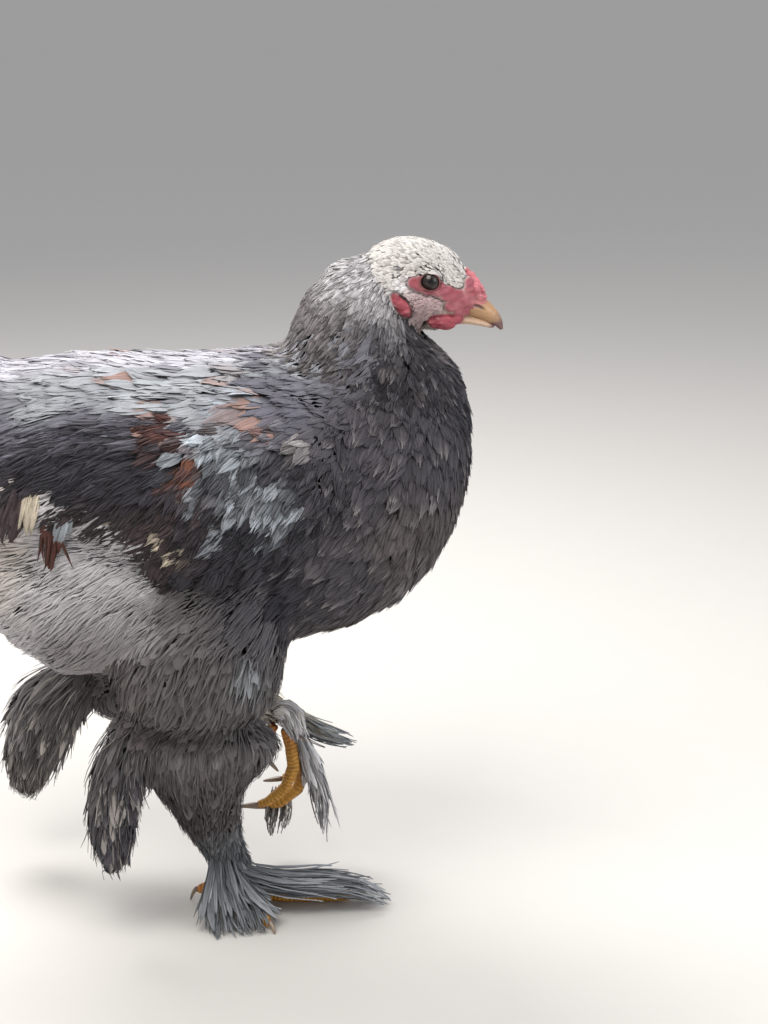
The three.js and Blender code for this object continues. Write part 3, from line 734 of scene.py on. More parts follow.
# A row of a lay is place (x, out from the middle plane, z), lie (x, out, z), feather length,
# feather width and colour. What lies between rows is blended from them.
LAYS = {
    "head": [
        [(131, 3, 381), (-0.85, 0.1, 0.5), 3.6, 1.7, "pale"],
        [(118, 4, 391), (-0.97, 0, 0.2), 4.6, 2.0, "pale"],
        [(98, 5, 395), (-1, 0, 0), 5.6, 2.3, "pale"],
        [(76, 6, 388), (-0.92, 0, -0.4), 10, 3, "pale"],
        [(106, 15, 381), (-0.98, 0.05, 0.08), 4, 1.8, "pale"],
        [(119, 10, 377), (-0.95, 0.1, 0.3), 3.2, 1.5, "pale"],
        [(90, 18, 374), (-0.96, 0, -0.25), 5.5, 2.2, "pale"],
        [(76, 20, 372), (-0.9, 0, -0.42), 8.5, 2.8, "pale"],
        [(104, 17, 362), (-0.92, 0, -0.3), 3.2, 1.3, "blush"],
        [(88, 19, 357), (-0.8, 0, -0.6), 5.5, 2.2, "pale"],
        [(108, 14, 352), (-0.85, 0, -0.5), 3.4, 1.4, "blush"],
        [(118, 9, 345), (-0.8, 0, -0.6), 3.8, 1.7, "beige"],
        [(131, 4, 347), (-0.95, 0, -0.3), 2.8, 1.3, "beige"],
    ],
    "neck": [
        [(56, 3, 379), (-0.72, 0, -0.7), 10, 3.6, "cloud"],
        [(62, 18, 366), (-0.66, 0, -0.75), 10, 3.6, "cloud"],
        [(42, 5, 358), (-0.55, 0, -0.83), 13, 4.2, "nape"],
        [(55, 26, 348), (-0.5, 0, -0.86), 13, 4.4, "nape"],
        [(34, 8, 342), (-0.7, 0, -0.7), 17, 5.4, "ash"],
        [(86, 26, 357), (-0.6, 0, -0.8), 9, 3.4, "cloud"],
        [(80, 30, 344), (-0.4, 0, -0.92), 12, 4, "dark"],
        [(102, 22, 342), (-0.22, 0, -0.97), 11, 3.8, "ink"],
        [(120, 4, 336), (-0.02, 0, -1), 10, 3.6, "grey"],
        [(48, 34, 330), (-0.5, 0.1, -0.85), 18, 5.6, "grey"],
        [(80, 40, 322), (-0.3, 0.1, -0.95), 18, 5, "ink"],
        [(108, 32, 316), (-0.12, 0.1, -1), 16, 4.8, "ink"],
        [(127, 8, 318), (0.05, 0, -1), 13, 4.6, "slate"],
        [(50, 50, 305), (-0.55, 0.1, -0.82), 21, 6.4, "slate"],
        [(85, 54, 295), (-0.35, 0.05, -0.93), 20, 6, "ink"],
    ],
    "breast": [
        [(131, 8, 300), (0.02, 0, -1), 17, 8, "dark"],
        [(134, 10, 272), (-0.05, 0, -1), 18, 9, "slate"],
        [(128, 14, 240), (-0.3, 0, -0.95), 19, 10, "brown_grey"],
        [(112, 50, 275), (-0.25, 0.1, -0.95), 19, 9.5, "slate"],
        [(100, 60, 235), (-0.5, 0, -0.86), 20, 10, "brown_grey"],
        [(104, 14, 202), (-0.72, 0, -0.7), 20, 10, "grey"],
        [(70, 72, 270), (-0.62, 0.1, -0.76), 20, 10, "slate"],
        [(66, 66, 215), (-0.8, 0, -0.6), 22, 11, "slate"],
        [(70, 12, 178), (-0.98, 0, -0.2), 22, 11, "brown_grey"],
        [(20, 78, 210), (-0.88, 0, -0.46), 24, 12, "dark"],
        [(15, 15, 166), (-1, 0, -0.05), 24, 12, "grey"],
        [(-40, 10, 162), (-1, 0, 0), 25, 12, "grey"],
    ],
    "back": [
        [(20, 0, 334), (-1, 0, -0.06), 24, 12, "lavender"],
        [(20, 40, 328), (-0.92, 0.1, -0.35), 24, 12, "frost"],
        [(30, 62, 318), (-0.85, 0.1, -0.5), 24, 14, "dusk"],
        [(60, 60, 300), (-0.75, 0.1, -0.65), 22, 12, "slate"],
        [(-40, 0, 331), (-1, 0, 0), 27, 13, "lavender"],
        [(-40, 50, 322), (-0.96, 0.15, -0.22), 27, 13, "frost"],
        [(-95, 0, 330), (-1, 0, 0.02), 29, 13, "lavender"],
        [(-95, 50, 315), (-0.96, 0.15, -0.12), 29, 12, "frost"],
        [(-135, 5, 318), (-0.9, 0, 0.42), 29, 12, "lavender"],
        [(-80, 72, 306), (-0.9, 0.1, -0.4), 32, 10, "dusk"],
        [(-120, 66, 300), (-0.95, 0.1, -0.25), 32, 10, "dusk"],
        [(-135, 45, 285), (-0.95, 0, 0.05), 28, 12, "dusk"],
        [(-150, 10, 270), (-0.9, 0, 0.1), 28, 11, "cloud"],
    ],
    # The wing's dark rows are painted shadow.
    "wing": [
        [(60, 85, 290), (-0.6, 0, -0.8), 15, 8, "slate"],
        [(42, 90, 315), (-0.85, 0, -0.52), 17, 10, "dusk"],
        [(44, 92, 255), (-0.7, 0, -0.7), 17, 9, "dark"],
        [(10, 95, 318), (-0.9, 0, -0.44), 18, 8, "lavender"],
        [(5, 95, 290), (-0.55, 0, -0.84), 19, 8, "slate"],
        [(18, 95, 268), (-0.6, 0, -0.8), 19, 8, "dark"],
        [(-14, 95, 268), (-0.5, 0, -0.87), 19, 8, "dark"],
        [(10, 95, 240), (-0.8, 0, -0.6), 22, 10, "dark"],
        [(-35, 95, 315), (-0.93, 0, -0.36), 30, 8, "dusk"],
        [(-38, 95, 285), (-0.8, 0, -0.6), 28, 8, "dark"],
        [(-35, 95, 240), (-0.8, 0, -0.6), 22, 9, "umber"],
        [(-80, 90, 308), (-0.86, 0, -0.5), 34, 8, "dusk"],
        [(-80, 90, 280), (-0.83, 0, -0.56), 32, 8.5, "dark"],
        [(-80, 90, 255), (-0.8, 0, -0.6), 28, 9, "umber"],
        [(-125, 75, 300), (-0.95, 0, -0.2), 34, 10, "dusk"],
        [(-125, 75, 255), (-0.88, 0, -0.45), 30, 10, "umber"],
    ],
    "tail_coverts": [
        [(-130, 5, 325), (-0.88, 0, 0.46), 32, 12, "lavender"],
        [(-165, 5, 350), (-0.85, 0, 0.52), 36, 12, "lavender"],
        [(-160, 35, 315), (-0.88, 0.05, 0.45), 36, 12, "dusk"],
        [(-185, 10, 325), (-0.88, 0, 0.46), 36, 11, "dusk"],
        [(-150, 15, 290), (-0.92, 0, 0.35), 32, 13, "cloud"],
    ],
    "fluff": [
        [(12, 80, 215), (-0.75, 0.1, -0.66), 26, 11, "slate"],
        [(-20, 84, 212), (-0.75, 0.1, -0.66), 26, 11, "grey"],
        [(-52, 84, 222), (-0.78, 0.1, -0.6), 26, 11, "cloud"],
        [(-80, 82, 235), (-0.86, 0.1, -0.5), 28, 12, "cloud"],
        [(-130, 62, 245), (-0.95, 0.1, -0.2), 28, 12, "cream"],
        [(-156, 10, 245), (-0.95, 0, -0.05), 28, 12, "cream"],
        [(-148, 20, 205), (-0.8, 0.05, -0.6), 28, 12, "cream"],
        [(-70, 78, 180), (-0.68, 0, -0.74), 26, 11, "ash"],
        [(-125, 45, 170), (-0.62, 0.05, -0.78), 26, 11, "cloud"],
        [(-90, 20, 153), (-0.6, 0, -0.8), 24, 11, "ash"],
        [(-20, 40, 158), (-0.5, 0, -0.86), 24, 11, "grey"],
    ],
    "thigh": [
        [(20, 70, 215), (-0.62, 0, -0.78), 22, 10, "slate"],
        [(-38, 78, 208), (-0.6, 0, -0.8), 24, 11, "ash"],
        [(25, 50, 175), (-0.18, 0, -0.98), 20, 8.5, "grey"],
        [(-20, 78, 165), (-0.35, 0, -0.93), 23, 10, "grey"],
        [(-60, 60, 160), (-0.55, 0, -0.83), 24, 10, "brown_grey"],
        [(20, 40, 145), (-0.25, 0, -0.96), 18, 8, "grey"],
        [(-40, 50, 132), (-0.6, 0, -0.8), 18, 8, "brown_grey"],
        [(-80, 58, 130), (-0.7, 0, -0.7), 20, 8, "brown_grey"],
    ],
    "boot": [
        [(20, 36, 120), (-0.05, 0, -1), 20, 8, "grey"],
        [(-30, 50, 115), (-0.1, 0, -1), 22, 9, "grey"],
        [(-15, 45, 92), (0.05, 0, -1), 20, 8, "brown_grey"],
        [(0, 30, 70), (0.1, 0, -1), 18, 6.5, "brown_grey"],
        [(-25, 25, 70), (0, 0, -1), 18, 6.5, "umber"],
        [(-4, 12, 40), (0.12, 0, -1), 16, 4.6, "steel"],
        [(0, 4, 24), (0.25, 0, -0.95), 14, 4, "steel"],
    ],
    "hock_right": [
        [(-48, 50, 142), (-0.55, 0, -0.83), 22, 7, "grey"],
        [(-66, 52, 120), (-0.35, 0, -0.94), 24, 7, "grey"],
        [(-80, 52, 95), (-0.12, 0, -1), 25, 7, "grey"],
        [(-58, 52, 90), (0.02, 0, -1), 24, 7, "slate"],
        [(-70, 50, 60), (0, 0, -1), 20, 6.5, "slate"],
    ],
    "hock_left": [
        [(-85, 58, 132), (-0.85, 0, -0.5), 22, 7, "ash"],
        [(-118, 60, 125), (-0.7, 0, -0.7), 26, 7, "ash"],
        [(-138, 62, 95), (-0.25, 0, -0.97), 27, 7, "ash"],
        [(-105, 60, 95), (-0.3, 0, -0.95), 24, 7, "grey"],
        [(-135, 62, 62), (-0.2, 0, -0.98), 24, 7, "brown_grey"],
    ],
    "shank_left": [
        [(-78, 60, 115), (0.2, 0, -0.98), 18, 6, "grey"],
        [(-40, 62, 108), (0.55, 0, -0.83), 20, 6.5, "grey"],
        [(5, 56, 108), (0.8, 0, -0.6), 16, 5.5, "cream"],
        [(22, 54, 106), (0.7, 0, -0.6), 10, 4, "beige"],
    ],
}
LAY_SOFTNESS = 12.0  # how near to a row, in mm, that row rules
LAY_FALL = 2.2  # how quickly its weight falls beyond

# Patches of other feathers, the dark ones being painted shadow: x, z, half length, half height, turn,
# colour. Later ones lie on top.
SIDE_PATCHES = [
    (22, 247, 26, 8, -5, "dark"), (-82, 283, 30, 11, 10, "dark"), (-10, 263, 16, 12, 0, "umber"),
    (-40, 255, 13, 11, 0, "umber"), (8, 281, 24, 4.5, -8, "dark"), (-1, 292.5, 21, 9, -5, "silver"),
    (20, 269, 21, 10, -15, "silver"), (-13, 272, 6, 8, 0, "silver"), (1, 252, 13, 3, 45, "silver"),
    (27, 250, 10, 3, 35, "silver"), (-12, 301, 13, 4, 25, "silver"), (-30, 290, 7, 5, 45, "silver"),
    (40, 295, 8, 5, 20, "ash"), (3, 316, 16, 4, 15, "silver"), (-35, 303, 11, 7.5, -10, "russet"),
    (-20, 286, 7, 11, -20, "rust"), (-5, 308, 8, 4.5, 25, "rust"), (10, 313, 7, 4, -25, "rust"),
    (18, 306, 7, 4.5, 0, "rust"), (-26, 238.5, 6, 4, 20, "beige"), (-48, 258, 4, 3, 0, "beige"),
    (-36, 247, 4, 3, 0, "beige"), (-61, 324, 5, 1.6, 10, "rust"), (-80, 324.5, 5, 1.6, 0, "rust"),
    (-1.6, 325, 6, 2, 0, "rust"), (21, 324, 16, 9, 0, "dusk"),
]
PATCHES = {
    "wing": SIDE_PATCHES,
    "back": [(*p[:5], "fawn" if p[5] in ("rust", "russet") else p[5]) for p in SIDE_PATCHES],
    "thigh": [(14, 168, 16, 7, 75, "frost")],
    "head": [
        (106, 358, 10, 7, -20, "blush"), (92.5, 372.5, 4.4, 4.4, 0, "white"),
        # The dark arc over the ear tuft is painted shade at the tuft's rim.
        (90.5, 378, 3, 1.1, -25, "dark"),
    ],
}
PATCH_EDGE = 0.4  # how softly a patch ends, as a share of its half size
PATCH_STRAY = 1.2  # how far its edge wanders, as a share of its smaller half size
PATCH_COVER = 0.92
CLOUDING = {"size": 26, "strength": 0.3}  # slow changes of brightness over the whole bird

# Flecks: the share of feathers they take, and their colour
FLECKS = {
    "head": (0.25, "nape"),
    "neck": (0.08, "nape"),
    "breast": (0.02, "ash"),
    "wing": (0.14, "dark"),
    "back": (0.12, "dusk"),
    "boot": (0.12, "ash"),
    "hock_right": (0.22, "cream"),
    "hock_left": (0.22, "cream"),
}
# Pale tips: the share of feathers that have one, and its colour
TIPS = {"neck": (0.25, "ash"), "breast": (0.4, "ash")}


class Lay:
    """The rows of one lay, and what is blended from them at any place."""

    def __init__(self, name):
        rows = LAYS[name]
        self.name = name
        self.places = np.array([r[0] for r in rows], float)
        self.lies = unit(np.array([r[1] for r in rows], float))
        self.sizes = np.array([r[2:4] for r in rows], float)
        self.colours = np.array([colour(r[4]) for r in rows])

    def weights(self, points):
        folded = points.copy()
        folded[..., 1] = np.abs(points[..., 1] - MID)
        apart = ((folded[..., None, :] - self.places) ** 2).sum(-1)
        weight = (apart + LAY_SOFTNESS**2) ** -LAY_FALL
        return weight / weight.sum(-1, keepdims=True)

    def lie(self, points):
        found = self.weights(points) @ self.lies
        found[..., 1] *= np.where(points[..., 1] < MID, -1, 1)
        return unit(found)

    def size(self, points):
        return self.weights(points) @ self.sizes

    def colour(self, points):
        return self.weights(points) @ self.colours


def marked(base, points, name):
    """The colours of a region with its patches, and its clouding, put in."""
    painted = base.copy()
    stray = np.stack([cloud(points, 9, s) for s in (11, 12)], -1) - 0.5
    for x, z, long, tall, turn, shade in PATCHES.get(name, ()):
        reach = PATCH_STRAY * min(long, tall)
        dx = points[..., 0] + reach * stray[..., 0] - x
        dz = points[..., 2] + reach * stray[..., 1] - z
        along, aside = turned_flat(dx, dz, math.radians(turn))
        cover = 1 - ease(1 - PATCH_EDGE, 1 + PATCH_EDGE, np.hypot(along / long, aside / tall))
        painted = mix(painted, colour(shade), cover[..., None] * PATCH_COVER)
    depth = cloud(points, CLOUDING["size"], 5) - 0.5
    return painted * (1 + CLOUDING["strength"] * depth[..., None])


# Meshes of vanes

VANE_UNIT = 20.0  # millimetres of a vane for one unit of its map
PATCH = 0.003  # the size of a feather's place on the bake map
PATCH_CAP = 0.1  # how far the hidden ends reach beside it, so that no face is without width
RIM_COVER = 0.55  # how much of another colour a vane's edges may take
FACING_AWAY = -0.2  # below this a corner counts as turned away from the coat's surface

# Cross sections of a vane: how far across each corner is, and how high
SECTIONS = {
    "plain": [(-1, 0), (0, 1), (1, 0), (0, -0.25)],
    "broad": [
        (-1, 0), (-0.55, 0.35), (-0.08, 0.55), (0, 1), (0.08, 0.55), (0.55, 0.35), (1, 0), (0, -0.4),
    ],
    "lock": [(-1, 0), (0, 1), (1, 0)],
}
# Outlines of a vane: places along it, and the half width there as a share
OUTLINES = {
    "oval": (
        [0, 0.16, 0.36, 0.56, 0.74, 0.88, 0.96, 1],
        [0.14, 0.55, 0.9, 1, 0.88, 0.56, 0.28, 0.05],
    ),
    "hackle": ([0, 0.2, 0.42, 0.63, 0.82, 0.94, 1], [0.2, 0.7, 1, 0.92, 0.66, 0.36, 0.08]),
    "small": ([0, 0.3, 0.6, 0.86, 1], [0.35, 0.9, 1, 0.66, 0.14]),
    "lock": ([0, 0.36, 0.74, 1], [0.7, 1, 0.7, 0.08]),
    "quill": (
        [0, 0.1, 0.22, 0.36, 0.5, 0.63, 0.75, 0.85, 0.92, 0.97, 1],
        [0.12, 0.4, 0.78, 0.95, 1, 1, 0.96, 0.86, 0.68, 0.42, 0.1],
    ),
}


class Vanes:
    """Feathers along their spines, gathered until they become one mesh."""

    def __init__(self, section, outline, soft=0.4):
        self.soft = soft  # how far the shading follows the coat's surface and not each feather
        self.section = np.array(SECTIONS[section], float)
        self.places, self.widths = (np.array(v, float) for v in OUTLINES[outline])
        self.parts = []

    def add(self, spine, up, length, width, thick, camber, tint, patch, rng, fray=0.1, rim=None):
        """spine, up and tint are (feathers, rings, 3), and thick may be one value for all."""
        count, rings = spine.shape[:2]
        thick = np.broadcast_to(thick, count)
        forward = unit(np.gradient(spine, axis=1))
        side = unit(np.cross(forward, up))
        over, up = up, np.cross(side, forward)
        across, rise = self.section[:, 0], self.section[:, 1]
        ragged = 1 + fray * settings().coat.fray * rng.uniform(-1, 1, (count, rings, 2))
        half = 0.5 * width[:, None, None] * self.widths[None, :, None] * ragged
        half = np.where(across < 0, half[..., :1], half[..., 1:])
        reach = half * across
        lift = rise * thick[:, None, None] - camber * across**2 * half
        points = spine[:, :, None] + side[:, :, None] * reach[..., None]
        points = points + up[:, :, None] * lift[..., None]
        shade = np.repeat(tint[:, :, None], len(across), 2)
        if rim is not None:
            shade = mix(shade, rim[:, None, None], (across**2)[:, None] * RIM_COVER)
        run = np.broadcast_to(self.places[None, :, None], reach.shape)
        vane = np.stack([0.5 + reach / VANE_UNIT, run * length[:, None, None] / VANE_UNIT], -1)
        spot = np.stack([np.broadcast_to(across / 2, reach.shape), run - 0.5], -1)
        spot = patch[:, None, None] + spot * PATCH
        self.parts.append((points, shade, vane, spot, np.broadcast_to(over[:, :, None], points.shape)))

    def build(self, name):
        points, shade, vane, spot, over = (np.concatenate([p[i] for p in self.parts]) for i in range(5))
        count, rings, corners = points.shape[:3]
        ring = np.arange(corners)
        ends = np.stack([ring[::-1], ring + (rings - 1) * corners])
        offset = np.arange(count)[:, None, None] * rings * corners
        walls = (tube_faces(rings, corners)[None] + offset).reshape(-1)
        ends = (ends[None] + offset).reshape(-1)
        indices = np.concatenate([walls, ends]).astype(np.int32)
        totals = np.concatenate([np.full(len(walls) // 4, 4), np.full(2 * count, corners)])
        starts = np.concatenate([[0], np.cumsum(totals)[:-1]]).astype(np.int32)
        made = mesh_object(name, points.reshape(-1, 3), indices, starts)
        mesh = made.data
        paint_corners(made, shade)
        add_map(made, "Vane", vane.reshape(-1, 2)[indices])
        spots = spot.reshape(-1, 2)[indices]
        low = self.section[indices[len(walls) :] % corners, 1] * PATCH_CAP * PATCH
        spots[len(walls) :, 1] += low
        add_map(made, "OFBake", spots)
        mesh.uv_layers.active = mesh.uv_layers["Vane"]
        mesh.uv_layers["Vane"].active_render = True
        own = np.zeros(len(mesh.vertices) * 3, np.float32)
        mesh.vertex_normals.foreach_get("vector", own)
        own, over = own.reshape(-1, 3), over.reshape(-1, 3)
        over = over * np.where((own * over).sum(-1, keepdims=True) < FACING_AWAY, -1, 1)
        mesh.normals_split_custom_set_from_vertices(unit(mix(own, over, self.soft)))
        return made


def lengths(spine):
    return np.linalg.norm(np.diff(spine, axis=1), axis=2).sum(1)


def along_rows(rows, t):
    """What each feather's own rows give at its places t, straight on beyond the last."""
    last = rows.shape[1] - 1
    place = t * last
    i = np.clip(place.astype(int), 0, last - 1)
    pick = np.arange(len(rows))[:, None, None]
    return mix(rows[pick, i], rows[pick, i + 1], (place - i)[..., None])


BARB_THICK = 0.2


def add_barbs(vanes, parts, spine, up, length, width, girth, tint, patch, rng, spread):
    """Clumps of barbs that lie side by side on each feather and part at its tip."""
    count = len(spine)
    total = count * parts
    girth = np.broadcast_to(girth, count)[:, None]
    side = unit(np.cross(np.gradient(spine, axis=1), up))
    share = np.linspace(-1, 1, parts) * (1 - 0.8 / parts)
    share = share + rng.uniform(-0.5, 0.5, (count, parts)) / parts
    start = rng.uniform(0.1, 0.4, share.shape)
    end = 1.07 - 0.3 * share**2 + rng.uniform(-0.14, 0.1, share.shape)
    t = start[..., None] + (end - start)[..., None] * vanes.places
    at, over, aside, shade = (along_rows(rows, t) for rows in (spine, up, side, tint))
    outline = 0.3 + 0.65 * np.interp(t, *OUTLINES["oval"])
    reach = share[..., None] * width[:, None, None] / 2 * outline
    sway = rng.normal(0, 0.05, share.shape)[..., None] * length[:, None, None]
    reach = reach + sway * vanes.places**2
    lift = girth * 0.6 + rng.uniform(0, 0.5, share.shape) - 0.5 * share**2 * girth
    at = at + aside * reach[..., None] + over * lift[..., None, None]
    shade = shade * (1 + spread * rng.normal(0, 1, share.shape))[..., None, None]
    flat = lambda v: v.reshape(total, *v.shape[2:])
    wide = flat(width[:, None] / parts * rng.uniform(1.1, 1.9, share.shape))
    vanes.add(flat(at), flat(over), flat((end - start) * length[:, None]), wide, BARB_THICK, 0,
              np.clip(flat(shade), 0.003, 1), np.repeat(patch, parts, 0), rng, 0.15)


def unwrapped(points, start, end, about=(0, 0, 1)):
    """Places on an unwrap of the skin round the line from start to end."""
    start, end = np.array(start, float), np.array(end, float)
    axis = unit(end - start)
    first = unit(np.cross(axis, about))
    second = np.cross(axis, first)
    away = points - start
    along = (away @ axis) / np.linalg.norm(end - start)
    turn = np.arctan2(away @ second, away @ first) / (2 * math.pi) + 0.5
    return 0.01 + 0.98 * np.clip(np.stack([along, turn], -1), 0, 1)


AROUND = [(a, b, c) for a in (-1, 0, 1) for b in (-1, 0, 1) for c in (-1, 0, 1)]
TRIES = 3.2  # roots tried for each one that finds room
CLOSEST = 0.82  # the least gap between two roots, as a share of the mean spacing


def scatter(points, triangles, spacing, keep, rng):
    """Roots spread over triangles about spacing(place) apart, each kept with chance keep(place)."""
    a, b, c = (points[triangles[:, i]] for i in range(3))
    area = np.linalg.norm(np.cross(b - a, c - a), axis=1) / 2
    middle = (a + b + c) / 3
    gap = spacing(middle)
    times = rng.poisson(area / gap**2 * TRIES)
    index = np.repeat(np.arange(len(triangles)), times)
    rng.shuffle(index)
    u, v = rng.random((2, len(index), 1))
    root = np.sqrt(u)
    spots = a[index] * (1 - root) + b[index] * root * (1 - v) + c[index] * root * v
    gap = gap[index] * CLOSEST
    wanted = keep(spots) > rng.random(len(spots))
    spots, gap = spots[wanted], gap[wanted]
    cell = float(gap.max()) if len(gap) else 1.0
    taken, chosen = {}, []
    for i, (spot, g) in enumerate(zip(spots.tolist(), gap.tolist())):
        x, y, z = spot
        a, b, c = int(x // cell), int(y // cell), int(z // cell)
        near = [o for da, db, dc in AROUND for o in taken.get((a + da, b + db, c + dc), ())]
        if all((x - o[0]) ** 2 + (y - o[1]) ** 2 + (z - o[2]) ** 2 >= g * g for o in near):
            taken.setdefault((a, b, c), []).append(spot)
            chosen.append(i)
    return spots[chosen]


def turned(v, axis, angle):
    """v turned about a unit axis."""
    c, s = np.cos(angle)[..., None], np.sin(angle)[..., None]
    return v * c + np.cross(axis, v) * s + axis * (v * axis).sum(-1, keepdims=True) * (1 - c)


RISING = 0.8  # how evenly a feather rises from its root, 1 being a straight slope
TIP_DROP = 0.05  # how far its tip bends back down
YIELDING = 0.6  # how much of the coat's lie a feather takes on at each ring


def lay_spines(guided, lay, roots, length, places, low, high, stray, proud=0.0, free=0.0):
    """Follows the lie of the coat from each root, rising from height low to high."""
    count = len(roots)
    spine = np.zeros((count, len(places), 3))
    up = np.zeros_like(spine)
    here = roots.copy()
    heading = None
    for ring, t in enumerate(places):
        normal = guided.normal(here)
        height = mix(low, high, t**RISING) - TIP_DROP * t**4
        target = guided.room(here) * height + proud * t * t
        held = 1 - free * min(3 * t, 1)
        here = here + normal * (target - guided.height(here))[:, None] * held
        lie = turned(lay.lie(here), normal, stray * (0.4 + 0.6 * t))
        lie = unit(lie - normal * (lie * normal).sum(-1, keepdims=True))
        heading = lie if heading is None else unit(mix(heading, lie, YIELDING))
        spine[:, ring] = here
        up[:, ring] = normal
        if ring + 1 < len(places):
            here = here + heading * (length * (places[ring + 1] - t))[:, None]
    return spine, up


# Finishes

def node(tree, kind, inputs=None, **values):
    made = tree.nodes.new(kind)
    for key, value in values.items():
        setattr(made, key, value)
    for key, value in (inputs or {}).items():
        if isinstance(value, bpy.types.NodeSocket):
            tree.links.new(value, made.inputs[key])
        else:
            made.inputs[key].default_value = value
    return made


def maths(tree, kind, a, b=0.0):
    return node(tree, "ShaderNodeMath", {0: a, 1: b}, operation=kind).outputs[0]


def scaled(tree, tint, factor):
    inputs = {0: tint, "Scale": factor}
    return node(tree, "ShaderNodeVectorMath", inputs, operation="SCALE").outputs[0]


def in_space(tree, kind, scale, **inputs):
    """What a texture gives at each place."""
    place = node(tree, "ShaderNodeNewGeometry").outputs["Position"]
    return node(tree, kind, {"Vector": place, "Scale": scale, **inputs}).outputs[0]


def attribute(tree, name):
    return node(tree, "ShaderNodeAttribute", attribute_name=name).outputs["Fac"]


def new_group(name, takes, gives):
    """A node group whose sockets are numbers, apart from the one that is called Colour."""
    group = bpy.data.node_groups.new(name, "ShaderNodeTree")
    for way, labels in (("INPUT", takes), ("OUTPUT", gives)):
        for label in labels:
            kind = "NodeSocketColor" if label == "Colour" else "NodeSocketFloat"
            group.interface.new_socket(label, in_out=way, socket_type=kind)
    return group, group.nodes.new("NodeGroupInput").outputs, group.nodes.new("NodeGroupOutput").inputs


WAVER_SCALE = 420.0
SHAFT_WIDTH = 0.25


@functools.lru_cache(None)
def barbs():
    """Fine lines that leave a feather's shaft at a slant, and the shaft itself."""
    group, given, made = new_group("Barbs", ["Spacing", "Slant", "Waver"], ["Height", "Shade"])
    sums = functools.partial(maths, group)
    uv = node(group, "ShaderNodeUVMap", uv_map="Vane").outputs[0]
    apart = node(group, "ShaderNodeSeparateXYZ", {0: uv}).outputs
    side = sums("ABSOLUTE", sums("MULTIPLY", sums("SUBTRACT", apart[0], 0.5), VANE_UNIT))
    along = sums("MULTIPLY", apart[1], VANE_UNIT)
    noise = in_space(group, "ShaderNodeTexNoise", WAVER_SCALE, Detail=2.0)
    waver = sums("MULTIPLY", sums("SUBTRACT", noise, 0.5), given["Waver"])
    run = sums("SUBTRACT", along, sums("MULTIPLY", side, given["Slant"]))
    phase = sums("DIVIDE", sums("ADD", run, waver), given["Spacing"])
    wave = sums("SINE", sums("MULTIPLY", phase, 2 * math.pi))
    shaft = sums("MAXIMUM", sums("SUBTRACT", 1.0, sums("DIVIDE", side, SHAFT_WIDTH)), 0.0)
    height = sums("ADD", sums("MULTIPLY", wave, 0.5), sums("MULTIPLY", shaft, 2.0))
    shade = sums("ADD", 1.0, sums("MULTIPLY", wave, 0.12))
    shade = sums("ADD", shade, sums("MULTIPLY", shaft, 0.3))
    group.links.new(height, made["Height"])
    group.links.new(shade, made["Shade"])
    return group


@functools.lru_cache(None)
def drift():
    """Cloudy changes of brightness over a colour."""
    group, given, made = new_group("Drift", ["Colour", "Amount", "Scale"], ["Colour", "Height"])
    noise = in_space(group, "ShaderNodeTexNoise", given["Scale"], Detail=4.0)
    change = maths(group, "MULTIPLY", maths(group, "SUBTRACT", noise, 0.5), given["Amount"])
    lit = scaled(group, given["Colour"], maths(group, "ADD", 1.0, change))
    group.links.new(lit, made["Colour"])
    group.links.new(noise, made["Height"])
    return group


def new_finish(name, **shine):
    material = bpy.data.materials.new(name)
    material.use_nodes = True
    tree = material.node_tree
    shader = tree.nodes["Principled BSDF"]
    for label, value in shine.items():
        shader.inputs[label.replace("_", " ")].default_value = value
    return material, tree, shader


def plumage_colour(tree):
    return node(tree, "ShaderNodeVertexColor", layer_name="Plumage").outputs[0]


def drifted(tree, tint, amount, scale):
    """The outputs of the group Drift for a colour."""
    inputs = {"Colour": tint, "Amount": amount, "Scale": scale}
    return node(tree, "ShaderNodeGroup", inputs, node_tree=drift()).outputs


def bump(tree, shader, height, distance):
    inputs = {"Height": height, "Distance": distance * MM, "Strength": 1.0}
    tree.links.new(node(tree, "ShaderNodeBump", inputs).outputs[0], shader.inputs["Normal"])


# Kinds of plumage: spacing of the barbs in mm, their slant and waver, roughness, sheen and drift
PLUMAGE = {
    "down": (1.1, 1.9, 1.6, 0.95, 0.2, 0.2),
    "body": (0.9, 1.2, 0.9, 0.85, 0.07, 0.35),
    "quill": (1.0, 1.1, 0.5, 0.75, 0.07, 0.35),
}


@functools.lru_cache(None)
def feather_finish(kind):
    spacing, slant, waver, rough, sheen, drifting = PLUMAGE[kind]
    material, tree, shader = new_finish(
        f"{kind}_plumage", Roughness=rough, Sheen_Weight=sheen, Sheen_Roughness=0.45,
        Specular_IOR_Level=0.22,
    )
    inputs = {"Spacing": spacing, "Slant": slant, "Waver": waver}
    lines = node(tree, "ShaderNodeGroup", inputs, node_tree=barbs()).outputs
    tint = drifted(tree, plumage_colour(tree), drifting, 260.0)["Colour"]
    tree.links.new(scaled(tree, tint, lines["Shade"]), shader.inputs["Base Color"])
    bump(tree, shader, lines["Height"], 0.2)
    return material


